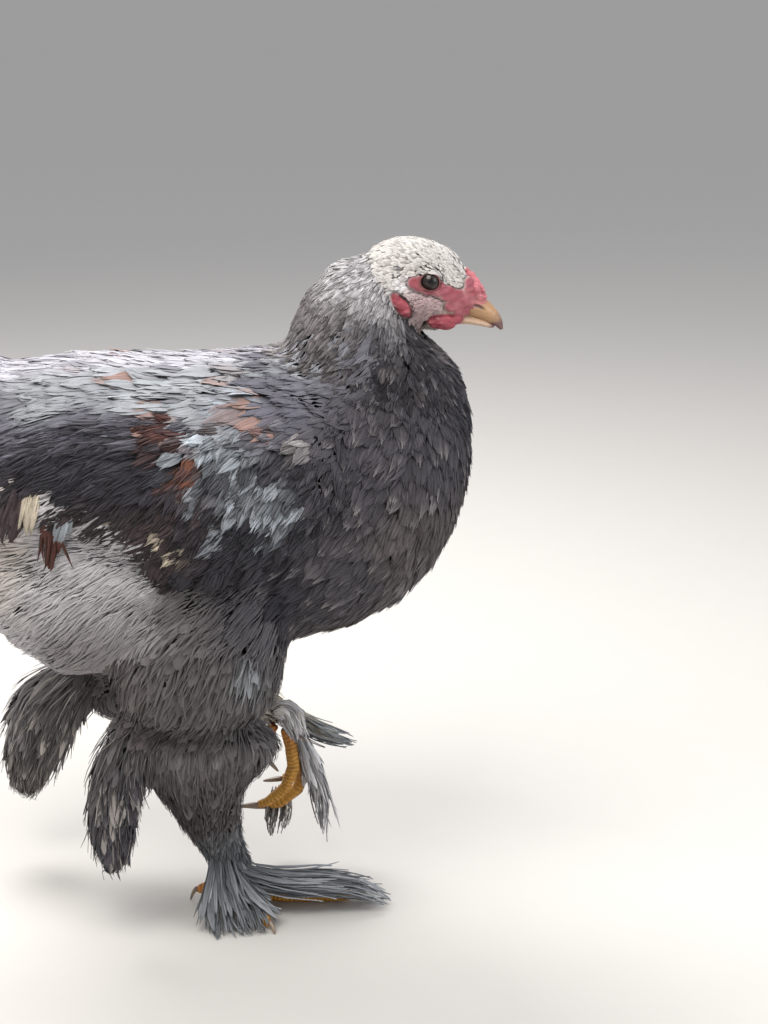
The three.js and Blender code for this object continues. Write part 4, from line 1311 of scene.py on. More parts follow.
@functools.lru_cache(None)
def skin_finish():
    """Red skin is smoother than the rest, and toes have scales across them."""
    material, tree, shader = new_finish("skin", Specular_IOR_Level=0.4)
    sums = functools.partial(maths, tree)
    rough = sums("SUBTRACT", 0.9, sums("MULTIPLY", attribute(tree, "Flesh"), 0.42))
    tree.links.new(rough, shader.inputs["Roughness"])
    pores = in_space(tree, "ShaderNodeTexVoronoi", 1500.0)
    scute = sums("ABSOLUTE", sums("SINE", sums("MULTIPLY", attribute(tree, "ToeRun"), math.pi)))
    scute = sums("POWER", scute, 0.4)
    bump(tree, shader, sums("ADD", sums("MULTIPLY", pores, 0.5), sums("MULTIPLY", scute, 1.8)), 0.4)
    ridge = sums("ADD", 0.62, sums("MULTIPLY", scute, 0.42))
    tint = drifted(tree, plumage_colour(tree), 0.5, 420.0)["Colour"]
    tree.links.new(scaled(tree, tint, ridge), shader.inputs["Base Color"])
    return material


def horn_finish(name, scale):
    material, tree, shader = new_finish(name, Roughness=0.38, Coat_Weight=0.25, Coat_Roughness=0.25)
    horn = drifted(tree, plumage_colour(tree), 0.3, scale)
    tree.links.new(horn["Colour"], shader.inputs["Base Color"])
    bump(tree, shader, horn["Height"], 0.12)
    return material


def eye_finish():
    material, tree, shader = new_finish(
        "eye_gloss", Roughness=0.2, Coat_Weight=0.35, Coat_Roughness=0.04, Specular_IOR_Level=0.25
    )
    tree.links.new(plumage_colour(tree), shader.inputs["Base Color"])
    return material


def floor_finish():
    material, tree, shader = new_finish("floor_paint", Roughness=0.85, Specular_IOR_Level=0.2)
    tint = drifted(tree, (*settings().colours.floor, 1), 0.03, 30.0)["Colour"]
    tree.links.new(tint, shader.inputs["Base Color"])
    return material


def finish_piece(obj, material, slot, *nodes):
    """Gives a piece its material and body, and hides the solids it stands for. Its slot is not used."""
    obj.data.materials.append(material)
    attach(obj, BODY)
    if nodes:
        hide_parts(*nodes)


# Pieces

REGION_OF = {name: name.split("_")[0] for name in OWNERS}
REGION_OF["tail_coverts"] = "tail_coverts"


@functools.lru_cache(None)
def skin_data():
    """The skin's corners, triangles and owners, as arrays in mm."""
    mesh = bpy.data.objects["skin"].data
    triangles = triangles_of(mesh)
    points = corners_of(mesh) / MM
    return points, triangles, owners_of(points)


def owners_of(points):
    """The number of the solid each place belongs to."""
    parts = forms()
    found = parts["body"].owner_at(points)
    low = points[:, 2] < LEG_CUT
    found[low] = parts["feet"].owner_at(points[low])
    return found


# Levels in z at which the lays of trunk and wing meet, and the places in x where a level changes
BACK_LEVEL, BACK_RISE, BACK_RISE_FROM = 262, 0.9, 20
RUMP_LEVEL, RUMP_FROM = 240, -60
FLUFF_LEVEL, FLUFF_FROM = 238, 25
VENT_LEVEL, VENT_FROM = 270, -40
WING_LEVEL, WING_SLOPE, WING_TOP, WING_FROM = 246, 0.6, 280, -20


def is_back(points):
    """Whether each place is on the back and rump, and not on the breast and belly."""
    x = points[..., 0]
    edge = BACK_LEVEL + BACK_RISE * np.maximum(x - BACK_RISE_FROM, 0)
    return points[..., 2] > np.where(x < RUMP_FROM, RUMP_LEVEL, edge)


def lay_names(points, owners):
    """The lay that rules each place of the skin."""
    x, z = points[:, 0], points[:, 2]
    names = np.full(len(points), "breast", dtype=object)
    back = is_back(points)
    for number, owner in enumerate(OWNERS):
        here = owners == number
        side = owner.rsplit("_", 1)[-1]
        region = REGION_OF[owner]
        if region == "trunk":
            names[here & back] = "back"
            low = np.where(x < VENT_FROM, VENT_LEVEL, FLUFF_LEVEL)
            names[here & (x < FLUFF_FROM) & (z < low)] = "fluff"
        elif region in LAYS:
            names[here] = region
            if region == "wing":
                edge = np.minimum(WING_LEVEL - WING_SLOPE * (x - WING_FROM), WING_TOP)
                names[here & (x < WING_FROM) & (z < edge)] = "fluff"
        elif region == "hock":
            names[here] = f"hock_{side}"
        elif region == "shank":
            names[here] = "boot" if side == "right" else "shank_left"
        elif region in ("foot", "toe"):
            names[here] = "toe"
    return names


# The skin under the feathers is painted a darker copy of their colour, as painted shade beneath the
# coat.
SKIN_PAINTED_SHADE = 0.8  # how bright the skin is under feathers of its colour
KNUCKLE_LEVEL, KNUCKLE_SPREAD = 93, 120  # where the lifted toes are orange
FEET_APART = 30  # the right foot lies on the near side of this y
HALLUX_END = -4  # the right foot's back toe lies behind this x
FACE_FROM, FACE_LEVEL, SHOWN_LEVEL = 84, 338, 342  # the face is ahead of and above these


def skin_colours(points, owners):
    painted = np.zeros((len(points), 3))
    names = lay_names(points, owners)
    for name in LAYS:
        here = names == name
        if here.any():
            base = Lay(name).colour(points[here])
            painted[here] = marked(base, points[here], name) * SKIN_PAINTED_SHADE
    toes = names == "toe"
    knuckle = np.exp(-((points[:, 2] - KNUCKLE_LEVEL) ** 2) / KNUCKLE_SPREAD)
    painted[toes] = mix(colour("yellow"), colour("orange"), knuckle[toes][:, None])
    hallux = toes & (points[:, 1] < FEET_APART) & (points[:, 0] < HALLUX_END)
    painted[hallux] = mix(colour("orange"), colour("yellow"), 0.3)
    return painted, names


def red_parts(points):
    """How bare each place of the head is, and how much of the comb's and wattles' red it has."""
    x, z = points[:, 0], points[:, 2]
    out = np.abs(points[:, 1] - MID)
    near = (z > FACE_LEVEL) & (x > FACE_FROM)
    naked, red = np.zeros(len(points)), np.zeros(len(points))
    naked[near] = bare(x[near], z[near])
    red[near] = 1 - ease(0.3, 1.6, red_reach(x[near], out[near], z[near]))
    return naked, red


RED_SPOT = (102.5, 371.5)  # a redder place behind the eye
EYE_MARGIN = (4.7, 4.1)  # half the width and height of the dark margin of the lids


def face_colours(points, painted, naked, red):
    """The colours with the bare face, the red parts and the margins of the lids put in."""
    x, z = points[:, 0], points[:, 2]
    speck = cloud(points, 3, 21)
    face = mix(colour("pink"), colour("red"), ease(0.45, 0.8, speck)[:, None] * 0.7)
    face = mix(face, colour("flesh"), 0.35 * ease(0.5, 0.75, cloud(points, 5, 22))[:, None])
    behind = 1 - ease(4, 8, np.hypot(x - RED_SPOT[0], z - RED_SPOT[1]))
    face = mix(face, colour("red") * 0.85, 0.6 * behind[:, None])
    painted = mix(painted, face, naked[:, None])
    # The comb is painted lighter rose than the same red skin of wattles and lobes, as painted light from
    # above.
    comb = ease(120, 128, x) * ease(353, 359, z)
    flush = mix(colour("red"), colour("rose"), comb[:, None])
    painted = mix(painted, flush * (0.75 + 0.5 * speck[:, None]), red[:, None])
    margin = np.hypot((x - EYE["x"]) / EYE_MARGIN[0], (z - EYE["z"]) / EYE_MARGIN[1])
    margin = (1 - ease(1.12, 1.5, margin)) * (np.abs(points[:, 1] - MID) > 8)
    return mix(painted, colour("russet") * 0.8, margin[:, None] * 0.75)


SKIN_KEPT = 0.5  # the share of the skin's faces that is kept, the loss being under the coat


def is_shown(points, owners):
    """Where the skin itself shows: on the head and the toes."""
    toes = [number for number, name in enumerate(OWNERS) if is_bare(name)]
    return np.isin(owners, toes) | ((points[:, 2] > SHOWN_LEVEL) & (points[:, 0] > FACE_FROM))


def thin_out(skin):
    """Takes away faces where feathers cover the skin."""
    points = corners_of(skin.data)
    covered = skin.vertex_groups.new(name="covered")
    covered.add(np.nonzero(~is_shown(points, owners_of(points)))[0].tolist(), 1.0, "REPLACE")
    thin = skin.modifiers.new("thin", "DECIMATE")
    thin.ratio = SKIN_KEPT
    thin.vertex_group = covered.name
    thin.vertex_group_factor = 10
    apply_modifiers(skin)


class MakeSkin(bpy.types.Operator):
    """Make the one skin of head, neck, trunk, wings, legs and toes"""

    bl_idname = "hen.skin"
    bl_label = "Skin"

    def execute(self, context):
        whole = whole_skin()
        mesh = bpy.data.meshes.new("skin")
        whole.to_mesh(mesh)
        whole.free()
        skin = put_in_scene("skin", mesh)
        thin_out(skin)
        mesh = skin.data
        points = corners_of(mesh)
        mesh.vertices.foreach_set("co", (points * MM).ravel())
        mesh.update()
        shade_smooth(mesh)
        painted, names = skin_colours(points, owners_of(points))
        naked, red = red_parts(points)
        paint_corners(skin, face_colours(points, painted, naked, red))
        flesh = np.maximum(np.maximum(naked, red), names == "toe")
        for label, values in (("Flesh", flesh), ("ToeRun", toe_run(points, names))):
            layer = mesh.attributes.new(label, "FLOAT", "POINT")
            layer.data.foreach_set("value", values.astype(np.float32))
        finish_piece(skin, skin_finish(), "plumage_slate", *OWNERS, "comb", "wattle_right",
                     "wattle_left", "earlobe_right", "earlobe_left")
        return {"FINISHED"}


SCUTE = 2.3  # length of one scale of a toe
# The middle of the lifted toes from the foot to the claws, as x and z
TOE_BEND = [(19, 95), (26, 84), (29, 66), (22, 52), (8, 46), (-6, 45)]


def toe_run(points, names):
    """How many scales along its toe each place lies."""
    toes = names == "toe"
    run = np.full(len(points), 0.5)
    near = toes & (points[:, 1] < FEET_APART)
    run[near] = np.hypot(points[near, 0], points[near, 1]) / SCUTE
    far = toes & ~near
    bend = curve(TOE_BEND, np.linspace(0, 1, 60))
    length = np.concatenate([[0], np.cumsum(np.linalg.norm(np.diff(bend, axis=0), axis=1))])
    flat = points[far][:, [0, 2]]
    nearest = ((flat[:, None] - bend) ** 2).sum(-1).argmin(1)
    run[far] = length[nearest] / SCUTE
    return run


EYE_RINGS, EYE_SIDES = 40, 56
CORNEA = {"r": 4.5, "rise": 0.45}
IRIS, PUPIL = 3.9, 2.3
GAZE = math.radians(9)  # how far forward the eyes look


class MakeEyes(bpy.types.Operator):
    """Make the two eyeballs, with iris, pupil and a clear bulge"""

    bl_idname = "hen.eyes"
    bl_label = "Eyes"

    def execute(self, context):
        material = eye_finish()
        for side, way in WAYS.items():
            turn = np.linspace(0, math.pi, EYE_RINGS + 1)
            spin = np.arange(EYE_SIDES) * 2 * math.pi / EYE_SIDES
            r = EYE["r"] - 0.1
            reach = np.sin(turn) * r
            bulge = CORNEA["rise"] * np.exp(-((reach / CORNEA["r"]) ** 4) * 1.5) * (turn < math.pi / 2)
            high = np.cos(turn) * r + bulge
            ball = np.stack([
                reach[:, None] * np.cos(spin),
                np.broadcast_to(high[:, None], (EYE_RINGS + 1, EYE_SIDES)),
                reach[:, None] * np.sin(spin),
            ], -1)
            spoke = cloud(np.stack([np.cos(spin) * 9, np.sin(spin) * 9, 0 * spin], -1), 1.0, 31)
            ring = ease(PUPIL - 0.1, PUPIL + 0.15, reach)[:, None, None]
            rim = ease(IRIS - 0.5, IRIS + 0.1, reach)[:, None, None]
            iris = colour("iris") * (0.6 + 0.8 * spoke[None, :, None])
            tint = mix(colour("pupil"), iris, ring)
            tint = mix(tint, colour("pupil") + 0.012, rim)
            tint[turn > math.pi / 2] = colour("pupil")
            x, y = turned_flat(ball[..., 0], ball[..., 1], GAZE)
            points = np.stack([EYE["x"] + x, MID + way * (EYE["out"] + y), EYE["z"] + ball[..., 2]], -1)
            faces = tube_faces(EYE_RINGS + 1, EYE_SIDES)
            if way > 0:
                faces = faces[:, ::-1]
            eye = plain_mesh(f"eyeball_{side}", points.reshape(-1, 3), faces)
            paint_corners(eye, tint)
            merge_corners(eye)
            finish_piece(eye, material, "eye", f"eye_{side}")
        return {"FINISHED"}


def merge_corners(obj):
    """Makes one of the corners that lie on each other."""
    with edited(obj) as mesh:
        bmesh.ops.remove_doubles(mesh, verts=mesh.verts[:], dist=0.02 * MM)


# Rows of the beak: x, z, the way its ring's back points, half height, half width
UPPER_BEAK = [
    (130.5, 359.6, 55, 7.4, 8.2),
    (133, 358, 55, 6.9, 7.4),
    (138.5, 355.3, 52, 5.9, 6.1),
    (143.8, 351.6, 45, 4.6, 4.4),
    (148, 347.6, 32, 2.8, 2.6),
    (150.2, 343.6, 12, 0.9, 0.9),
]
LOWER_BEAK = [
    (127, 350.2, 68, 3.8, 6.4),
    (133, 348.9, 66, 2.7, 5.4),
    (139, 347.4, 64, 2.1, 4),
    (144, 345.7, 62, 1.4, 2.4),
    (146, 345, 60, 0.6, 1),
]
NOSTRIL = {"x": 137.2, "z": 357.2, "long": 3.4, "tall": 0.75, "turn": -24, "deep": 1.5, "lip": 0.35}
BEAK_RINGS, BEAK_SIDES = 64, 72
BEAK_TIP = (0.62, 0.82)  # where along the beak its horn turns dark
BEAK_BASE = 0.16  # how far along it the skin of the face runs on


def beak_part(name, rows, upper):
    t = np.linspace(0, 1, BEAK_RINGS)
    x, z, tilt, tall, wide = (curve([r[k] for r in rows], t) for k in range(5))
    angle = np.arange(BEAK_SIDES) * 2 * math.pi / BEAK_SIDES
    c, s = np.cos(angle), np.sin(angle)
    if upper:
        # The top is a blunt ridge, and the cutting edges stand out below
        height = np.where(c > 0, np.abs(c) ** 0.85, -np.abs(c) ** 1.4)
        breadth = np.sign(s) * np.abs(s) ** np.where(c > 0, 1.15, 0.75)
    else:
        height = np.where(c > 0, np.abs(c) ** 1.4 * 1.1, -np.abs(c) ** 0.9)
        breadth = np.sign(s) * np.abs(s) ** 0.9
    lean = np.radians(tilt)[:, None]
    up = height * tall[:, None]
    points = np.stack([
        x[:, None] + np.cos(lean) * up, MID + breadth * wide[:, None], z[:, None] + np.sin(lean) * up
    ], -1)
    if upper:
        dx, dz = points[..., 0] - NOSTRIL["x"], points[..., 2] - NOSTRIL["z"]
        along, aside = turned_flat(dx, dz, math.radians(NOSTRIL["turn"]))
        along = along / NOSTRIL["long"]
        aside = (aside + 0.35 * along**2) / NOSTRIL["tall"]
        hollow = np.exp(-(along**4) - aside**2)
        away = points[..., 1] - MID
        points[..., 1] -= np.sign(away) * hollow * NOSTRIL["deep"] * (np.abs(away) > 2)
        lip = np.exp(-(along**4) - (aside - 2.1) ** 2 / 1.4)
        points[..., 1] += np.sign(away) * lip * NOSTRIL["lip"] * (np.abs(away) > 2)
    flat = points.reshape(-1, 3)
    beak = plain_mesh(name, flat, tube_faces(BEAK_RINGS, BEAK_SIDES))
    with edited(beak) as mesh:
        bmesh.ops.holes_fill(mesh, edges=[e for e in mesh.edges if e.is_boundary])
    run = np.repeat(t, BEAK_SIDES)
    streak = cloud(flat * [0.35, 1.4, 1.4], 2.2, 41)
    dark = ease(*BEAK_TIP, run + 0.2 * (streak - 0.5))
    horn = colour("horn") if upper else mix(colour("horn"), colour("cream"), 0.2)
    tint = mix(horn * (0.85 + 0.35 * streak[:, None]), colour("horn_dark"), dark[:, None] * 0.9)
    base = 1 - ease(0.0, BEAK_BASE, run + 0.1 * (streak - 0.5))
    if upper:
        over = flat[:, 2] - 0.3 * (flat[:, 0] - 137) - 357 + 1.2 * (streak - 0.5)
        base = np.maximum(base, ease(-0.6, 1.4, over) * (1 - ease(140.5, 144, flat[:, 0])))
    tint = mix(tint, mix(colour("pink"), colour("rose"), 0.4), base[:, None] * 0.85)
    # The nostril's hollow is painted nearly black, as painted shade in its opening.
    if upper:
        tint = mix(tint, colour("horn_dark") * 0.35, hollow.reshape(-1, 1) * 0.95)
    paint_corners(beak, tint)
    return beak


class MakeBeak(bpy.types.Operator):
    """Make the upper and lower beak, with the nostrils"""

    bl_idname = "hen.beak"
    bl_label = "Beak"

    def execute(self, context):
        material = horn_finish("beak_horn", 500.0)
        for name, rows, upper in (("upper", UPPER_BEAK, True), ("lower", LOWER_BEAK, False)):
            beak = beak_part(f"horn_{name}", rows, upper)
            finish_piece(beak, material, "horn", f"beak_{name}")
        return {"FINISHED"}


CLAW_SMOOTH = 2


class MakeClaws(bpy.types.Operator):
    """Make the eight claws, smoothed from their solids"""

    bl_idname = "hen.claws"
    bl_label = "Claws"

    def execute(self, context):
        material = horn_finish("claw_horn", 900.0)
        for side in WAYS:
            for digit in "1234":
                node_name = f"claw_{side}_{digit}"
                points, triangles = solid_of(node_name)
                claw = plain_mesh(f"nail_{side}_{digit}", points, triangles)
                merge_corners(claw)
                rounder = claw.modifiers.new("round", "SUBSURF")
                rounder.levels = rounder.render_levels = CLAW_SMOOTH
                apply_modifiers(claw)
                corners = corners_of(claw.data) / MM
                corners = corners - corners.mean(0)
                _, _, directions = np.linalg.svd(corners, full_matrices=False)
                along = np.abs(corners @ directions[0])
                tip = ease(0, along.max(), along)
                paint_corners(claw, mix(colour("claw"), colour("horn_dark"), tip[:, None] * 0.5))
                shade_smooth(claw.data)
                finish_piece(claw, material, "claw", node_name)
        return {"FINISHED"}


# The coat

SHOWN_AT = 0.62  # the place along a feather where most of it shows
UNPATCHED = 0.3  # the share of feathers that take less of a patch's colour


def tints(lay, spine, rng, spread, rootward):
    """A colour for each ring of each feather, from the place where most of it shows."""
    shown = spine[:, int(spine.shape[1] * SHOWN_AT)]
    stray = rng.normal(0, 2.0, shown.shape)
    base = marked(lay.colour(shown), shown + stray, lay.name)
    plain = (rng.random((len(base), 1)) < UNPATCHED) * rng.uniform(0.3, 1.0, (len(base), 1))
    base = mix(base, lay.colour(shown), plain)
    if lay.name in FLECKS:
        portion, shade = FLECKS[lay.name]
        picked = rng.random(len(base)) < portion
        base[picked] = mix(base[picked], colour(shade), rng.uniform(0.15, 0.6, (picked.sum(), 1)))
    base = base * (1 + spread * rng.normal(0, 1, (len(base), 1)))
    rings = np.linspace(0, 1, spine.shape[1])
    # Each feather darkens towards its root: partly its own greyer base, partly painted shade under the
    # feathers that overlap it.
    along = mix(rootward, 1.0, ease(0.15, 0.75, rings))
    shaded = base[:, None] * along[None, :, None]
    if lay.name in TIPS:
        portion, shade = TIPS[lay.name]
        pale = (rng.random(len(base)) < portion) * rng.uniform(0.3, 0.9, len(base))
        shaded = mix(shaded, colour(shade), (pale[:, None] * ease(0.72, 0.95, rings))[..., None])
    return np.clip(shaded, 0.004, 1)


UNDER_HACKLE = 12.0  # how far up under the neck's feathers those of the body start
SPREADING = ("neck", "breast", "back", "wing")  # lays that reach a little into their neighbours


def region_faces(want):
    """The skin's triangles in one lay, and those of the neck from which its feathers reach it."""
    points, triangles, owners = skin_data()
    names = lay_names(points, owners)
    inside = names == want
    neck = names == "neck"
    ahead = points[neck] + Lay("neck").lie(points[neck]) * UNDER_HACKLE
    inside[neck] |= lay_names(ahead, owners_of(ahead)) == want
    if want in SPREADING:
        inside[triangles[inside[triangles].any(1)]] = True
    return points, triangles[inside[triangles].sum(1) > 1]


def evened(vanes, *rows):
    """Values at a vane's places, given again at seven even steps along it."""
    steps = np.interp(np.linspace(0, 1, 7), vanes.places, np.linspace(0, 1, len(vanes.places)))
    return [along_rows(v, steps[None, None] * np.ones((len(v), 1, 1)))[:, 0] for v in rows]


def finish_vanes(vanes, name, kind, slot, *nodes):
    """Joins feathers into the piece of that name and finishes it."""
    finish_piece(vanes.build(name), feather_finish(kind), slot, *nodes)


def everywhere(points):
    return np.full(len(points), True)


def coat_piece(name, want, slot, kind, start, end, *, section="plain", outline="oval", reach=1.0,
               crowd=0.42, broad=1.0, low=0.5, high=0.94, camber=0.14, unrest=7, proud=0.4,
               fray=0.12, keep=everywhere, guided="body", thick=None, seed=0, spread=0.09, rootward=0.7,
               under=0.8, soft=0.4, free=0.0, swell=None, uneven=0.07, barbs=0, barb_spread=0.12):
    """Scatters one kind of feather over one or more lays and joins them into a piece.

    crowd and broad are shares of the lay's feather width and reach is a share of its length.
    low and high are the heights of root and tip in the coat, and proud is how far in mm a tip
    may stand out. start and end give the line round which the skin is unwrapped.
    """
    coat = settings().coat
    rng = np.random.default_rng(coat.seed * 100 + seed)
    vanes, clumps = Vanes(section, outline, soft), Vanes("lock", "lock", soft)
    for lay in map(Lay, want):
        points, faces = region_faces(lay.name)
        spacing = lambda p: lay.size(p)[:, 1] * crowd / math.sqrt(max(coat.fill, 0.05))
        roots = scatter(points, faces, spacing, keep, rng)
        count = len(roots)
        if not count:
            continue
        size = lay.size(roots) * rng.uniform(0.82, 1.15, (count, 1))
        length, width = size[:, 0] * reach, size[:, 1] * broad
        stray = np.radians(unrest * coat.wave) * rng.normal(0, 1, count)
        top = rng.normal(high, uneven, count)
        spine, up = lay_spines(
            forms()[guided], lay, roots, length, vanes.places, low, top, stray,
            proud=np.abs(rng.normal(0, proud, count)) + (swell(roots) if swell else 0), free=free,
        )
        tint = tints(lay, spine, rng, spread, rootward)
        girth = thick or coat.vane / MM
        patch = unwrapped(roots, start, end)
        # Under barbs the vane is darkened by under, as painted shade in the gaps between the barbs.
        shade = tint * under if barbs else tint
        vanes.add(spine, up, length, width, girth, camber, shade, patch, rng, fray)
        if barbs:
            spine, up, tint = evened(vanes, spine, up, tint)
            add_barbs(clumps, barbs, spine, up, length, width, girth, tint, patch, rng, barb_spread)
    finish_vanes(vanes, name, kind, slot)
    if barbs:
        finish_vanes(clumps, f"{name}_barbs", kind, slot)


EYE_CLEAR = (6.1, 5.1)  # half the length and height of the place round the eye without feathers
RED_CLEAR = 2.5  # how far ahead of and above the red parts feathers stay away
BEAK_FROM, BEAK_HALF = 133, 9  # where the beak begins, and half its width


def not_on_face(points):
    """No feathers on the bare skin, the eye, the comb, the wattles and the beak."""
    x, z = points[:, 0], points[:, 2]
    kept = bare(x, z) <= 0.5
    kept &= np.hypot((x - EYE["x"]) / EYE_CLEAR[0], (z - EYE["z"]) / EYE_CLEAR[1]) >= 1
    for ahead in (0, RED_CLEAR):
        kept &= red_parts(points - [ahead, 0, ahead])[1] <= 0.2
    return kept & ~((x > BEAK_FROM) & (np.abs(points[:, 1] - MID) < BEAK_HALF))


# Places where the feathers stand out further: x, z, how far, and how wide the place is
SWELLS = [(68, 386, 1.8, 9), (92, 372.5, 1.3, 4)]


def swell(points):
    """How much further the feathers stand out, behind the crown and over the ear."""
    return sum(
        rise * np.exp(-((points[:, 0] - x) ** 2 + (points[:, 2] - z) ** 2) / wide**2)
        for x, z, rise, wide in SWELLS
    )


class MakeHeadFeathers(bpy.types.Operator):
    """Lay the tiny feathers of the crown, brow, cheeks and chin"""

    bl_idname = "hen.head_feathers"
    bl_label = "Head feathers"

    def execute(self, context):
        coat_piece("head_feathers", ["head"], "plumage_pale", "body", (125, MID, 370),
                   (60, MID, 372), outline="small", guided="head", crowd=0.64, low=0.3, high=0.96,
                   proud=0.08, camber=0.12, fray=0.15, thick=0.18, keep=not_on_face, seed=1,
                   spread=0.05, rootward=0.85, soft=0.7, swell=swell, uneven=0.04, broad=1.15)
        return {"FINISHED"}


class MakeHackle(bpy.types.Operator):
    """Lay the long narrow feathers of the neck, and the under layer of neck and body"""

    bl_idname = "hen.hackle"
    bl_label = "Hackle"

    def execute(self, context):
        coat_piece("hackle", ["neck"], "plumage_pale", "body", (90, MID, 385), (75, MID, 270),
                   outline="hackle", crowd=0.65, broad=1.25, low=0.42, high=0.99, proud=0.15, unrest=8,
                   seed=2, spread=0.14, soft=0.5, barbs=4, barb_spread=0.2, swell=swell,
                   keep=not_on_face, uneven=0.04)
        coat_piece("under_feathers", ["neck", "back", "breast"], "plumage_slate", "body",
                   (60, MID, 300), (-160, MID, 290), section="lock", crowd=0.85, broad=1.6, low=0.15,
                   high=0.72, proud=0, camber=0.1, unrest=10, seed=6, keep=not_on_face, soft=0.9)
        return {"FINISHED"}


class MakeBodyFeathers(bpy.types.Operator):
    """Lay the round feathers of breast, belly, back and saddle"""

    bl_idname = "hen.body_feathers"
    bl_label = "Breast and back"

    def execute(self, context):
        coat_piece("breast_feathers", ["breast"], "plumage_slate", "body", (140, MID, 250),
                   (-80, MID, 240), crowd=0.51, broad=1.18, low=0.45, high=0.93, seed=3, fray=0.2,
                   barbs=7, soft=0.5, barb_spread=0.14, proud=0.25, uneven=0.04)
        coat_piece("back_feathers", ["back"], "plumage_slate", "body", (60, MID, 270),
                   (-160, MID, 270), crowd=0.52, broad=1.1, low=0.45, proud=0.15, seed=4, fray=0.2,
                   barbs=6, soft=0.75, spread=0.07, barb_spread=0.06, uneven=0.04, rootward=0.8)
        return {"FINISHED"}


def on_side(way):
    """A rule that keeps only the roots on one side of the middle plane."""
    return lambda points: (points[:, 1] - MID) * way > 0


def laid_on(guided, points, height):
    """The places moved along the coat's slope to a height in it, and that slope there."""
    for _ in range(3):
        slope = guided.normal(points)
        points = points + slope * (guided.room(points) * height - guided.height(points))[..., None]
    return points, guided.normal(points)


WING_LINE = (65, MID, 275), (-155, MID, 275)  # the line round which the wing is unwrapped
WING_OUT = 88  # how far out the wing's hind edge is looked for
# Long feathers that hang from the wing's hind edge: x and z of root and tip, width, colour
WING_TIPS = [
    (-96, 293, -111, 244, 12, "umber"), (-95, 286, -101, 252, 9, "beige"),
    (-84, 282, -93, 229, 11, "russet"), (-74, 276, -84, 250, 8, "silver"),
    (-108, 292, -123, 243, 12, "umber"), (-120, 290, -137, 248, 12, "russet"),
    (-130, 290, -149, 256, 12, "umber"), (-26, 252, -38, 228, 10, "umber"),
    (-10, 246, -24, 220, 11, "dark"), (6, 244, -8, 218, 11, "dark"), (24, 244, 10, 220, 11, "dark"),
]


class MakeWingFeathers(bpy.types.Operator):
    """Lay the coverts and the flight feathers of the folded wings"""

    bl_idname = "hen.wing_feathers"
    bl_label = "Wings"

    def execute(self, context):
        for side, way in WAYS.items():
            coat_piece(f"wing_feathers_{side}", ["wing"], "plumage_wing", "quill", *WING_LINE,
                       crowd=0.44, proud=1.2, unrest=11, fray=0.25, keep=on_side(way), seed=5 + way,
                       spread=0.24, low=0.4, high=1.0, barbs=7, barb_spread=0.16, under=0.55,
                       rootward=0.5)
            rng = np.random.default_rng(settings().coat.seed + 700)
            vanes, clumps = Vanes("broad", "hackle"), Vanes("lock", "lock")
            rows = np.array([row[:5] for row in WING_TIPS])
            t = vanes.places[None, :, None]
            flat = mix(rows[:, None, 0:2], rows[:, None, 2:4], t)
            points = np.insert(flat, 1, MID + way * WING_OUT, axis=2)
            spine, up = laid_on(forms()["body"], points, mix(0.5, 1.35, vanes.places)[None])
            spine = spine + up * t
            length, width, girth = lengths(spine), rows[:, 4], 0.5
            tint = np.array([colour(row[5]) for row in WING_TIPS])[:, None] * (1.1 - 0.3 * t)
            patch = unwrapped(spine[:, 0], *WING_LINE)
            vanes.add(spine, up, length, width, girth, 0.15, tint, patch, rng, 0.2)
            add_barbs(clumps, 7, spine, up, length, width * 1.15, girth, tint, patch, rng, 0.25)
            finish_vanes(vanes, f"wing_tips_{side}", "quill", "plumage_wing")
            finish_vanes(clumps, f"wing_tips_{side}_barbs", "quill", "plumage_wing")
        return {"FINISHED"}


# The half tail's middle line, as x, out, z, half height and half thickness
TAIL_ROWS = [
    (-126, 8, 300, 14, 7), (-159, 13, 319, 29, 7), (-191, 17, 337, 37, 5), (-217, 19, 349, 41, 4),
    (-235, 19, 357, 40, 3), (-247, 18, 362, 38, 2),
]
TAIL_QUILLS = 7
TAIL_BARBS = 16
TAIL_LEAN = 0.55  # how far the upper edge of each half leans in
TAIL_WIDTH = (25, 29)
TAIL_LINE = (-120, MID, 300), (-260, MID, 370)  # the line round which the tail is unwrapped


def tail_spines(places, way):
    """The spines of one half tail's quills and the way each faces, from the lowest up."""
    rows = np.array(TAIL_ROWS)
    up = unit(np.array([0.0, -way * TAIL_LEAN, 1.0]))
    outward = unit(np.array([0.0, way, TAIL_LEAN]))
    spines = []
    for i, v in enumerate(np.linspace(-0.86, 0.8, TAIL_QUILLS)):
        end = 0.985 - 0.2 * abs(v - 0.15) ** 1.6
        at = curve(rows, places * end)
        level = mix(0.8, -0.8, i / (TAIL_QUILLS - 1))
        bow = (v * at[:, 3])[:, None] * up * 0.78
        layer = (level * at[:, 4])[:, None] * outward
        spines.append(np.stack([at[:, 0], MID + way * at[:, 1], at[:, 2]], -1) + bow + layer)
    return np.array(spines), np.broadcast_to(outward, (TAIL_QUILLS, len(places), 3))


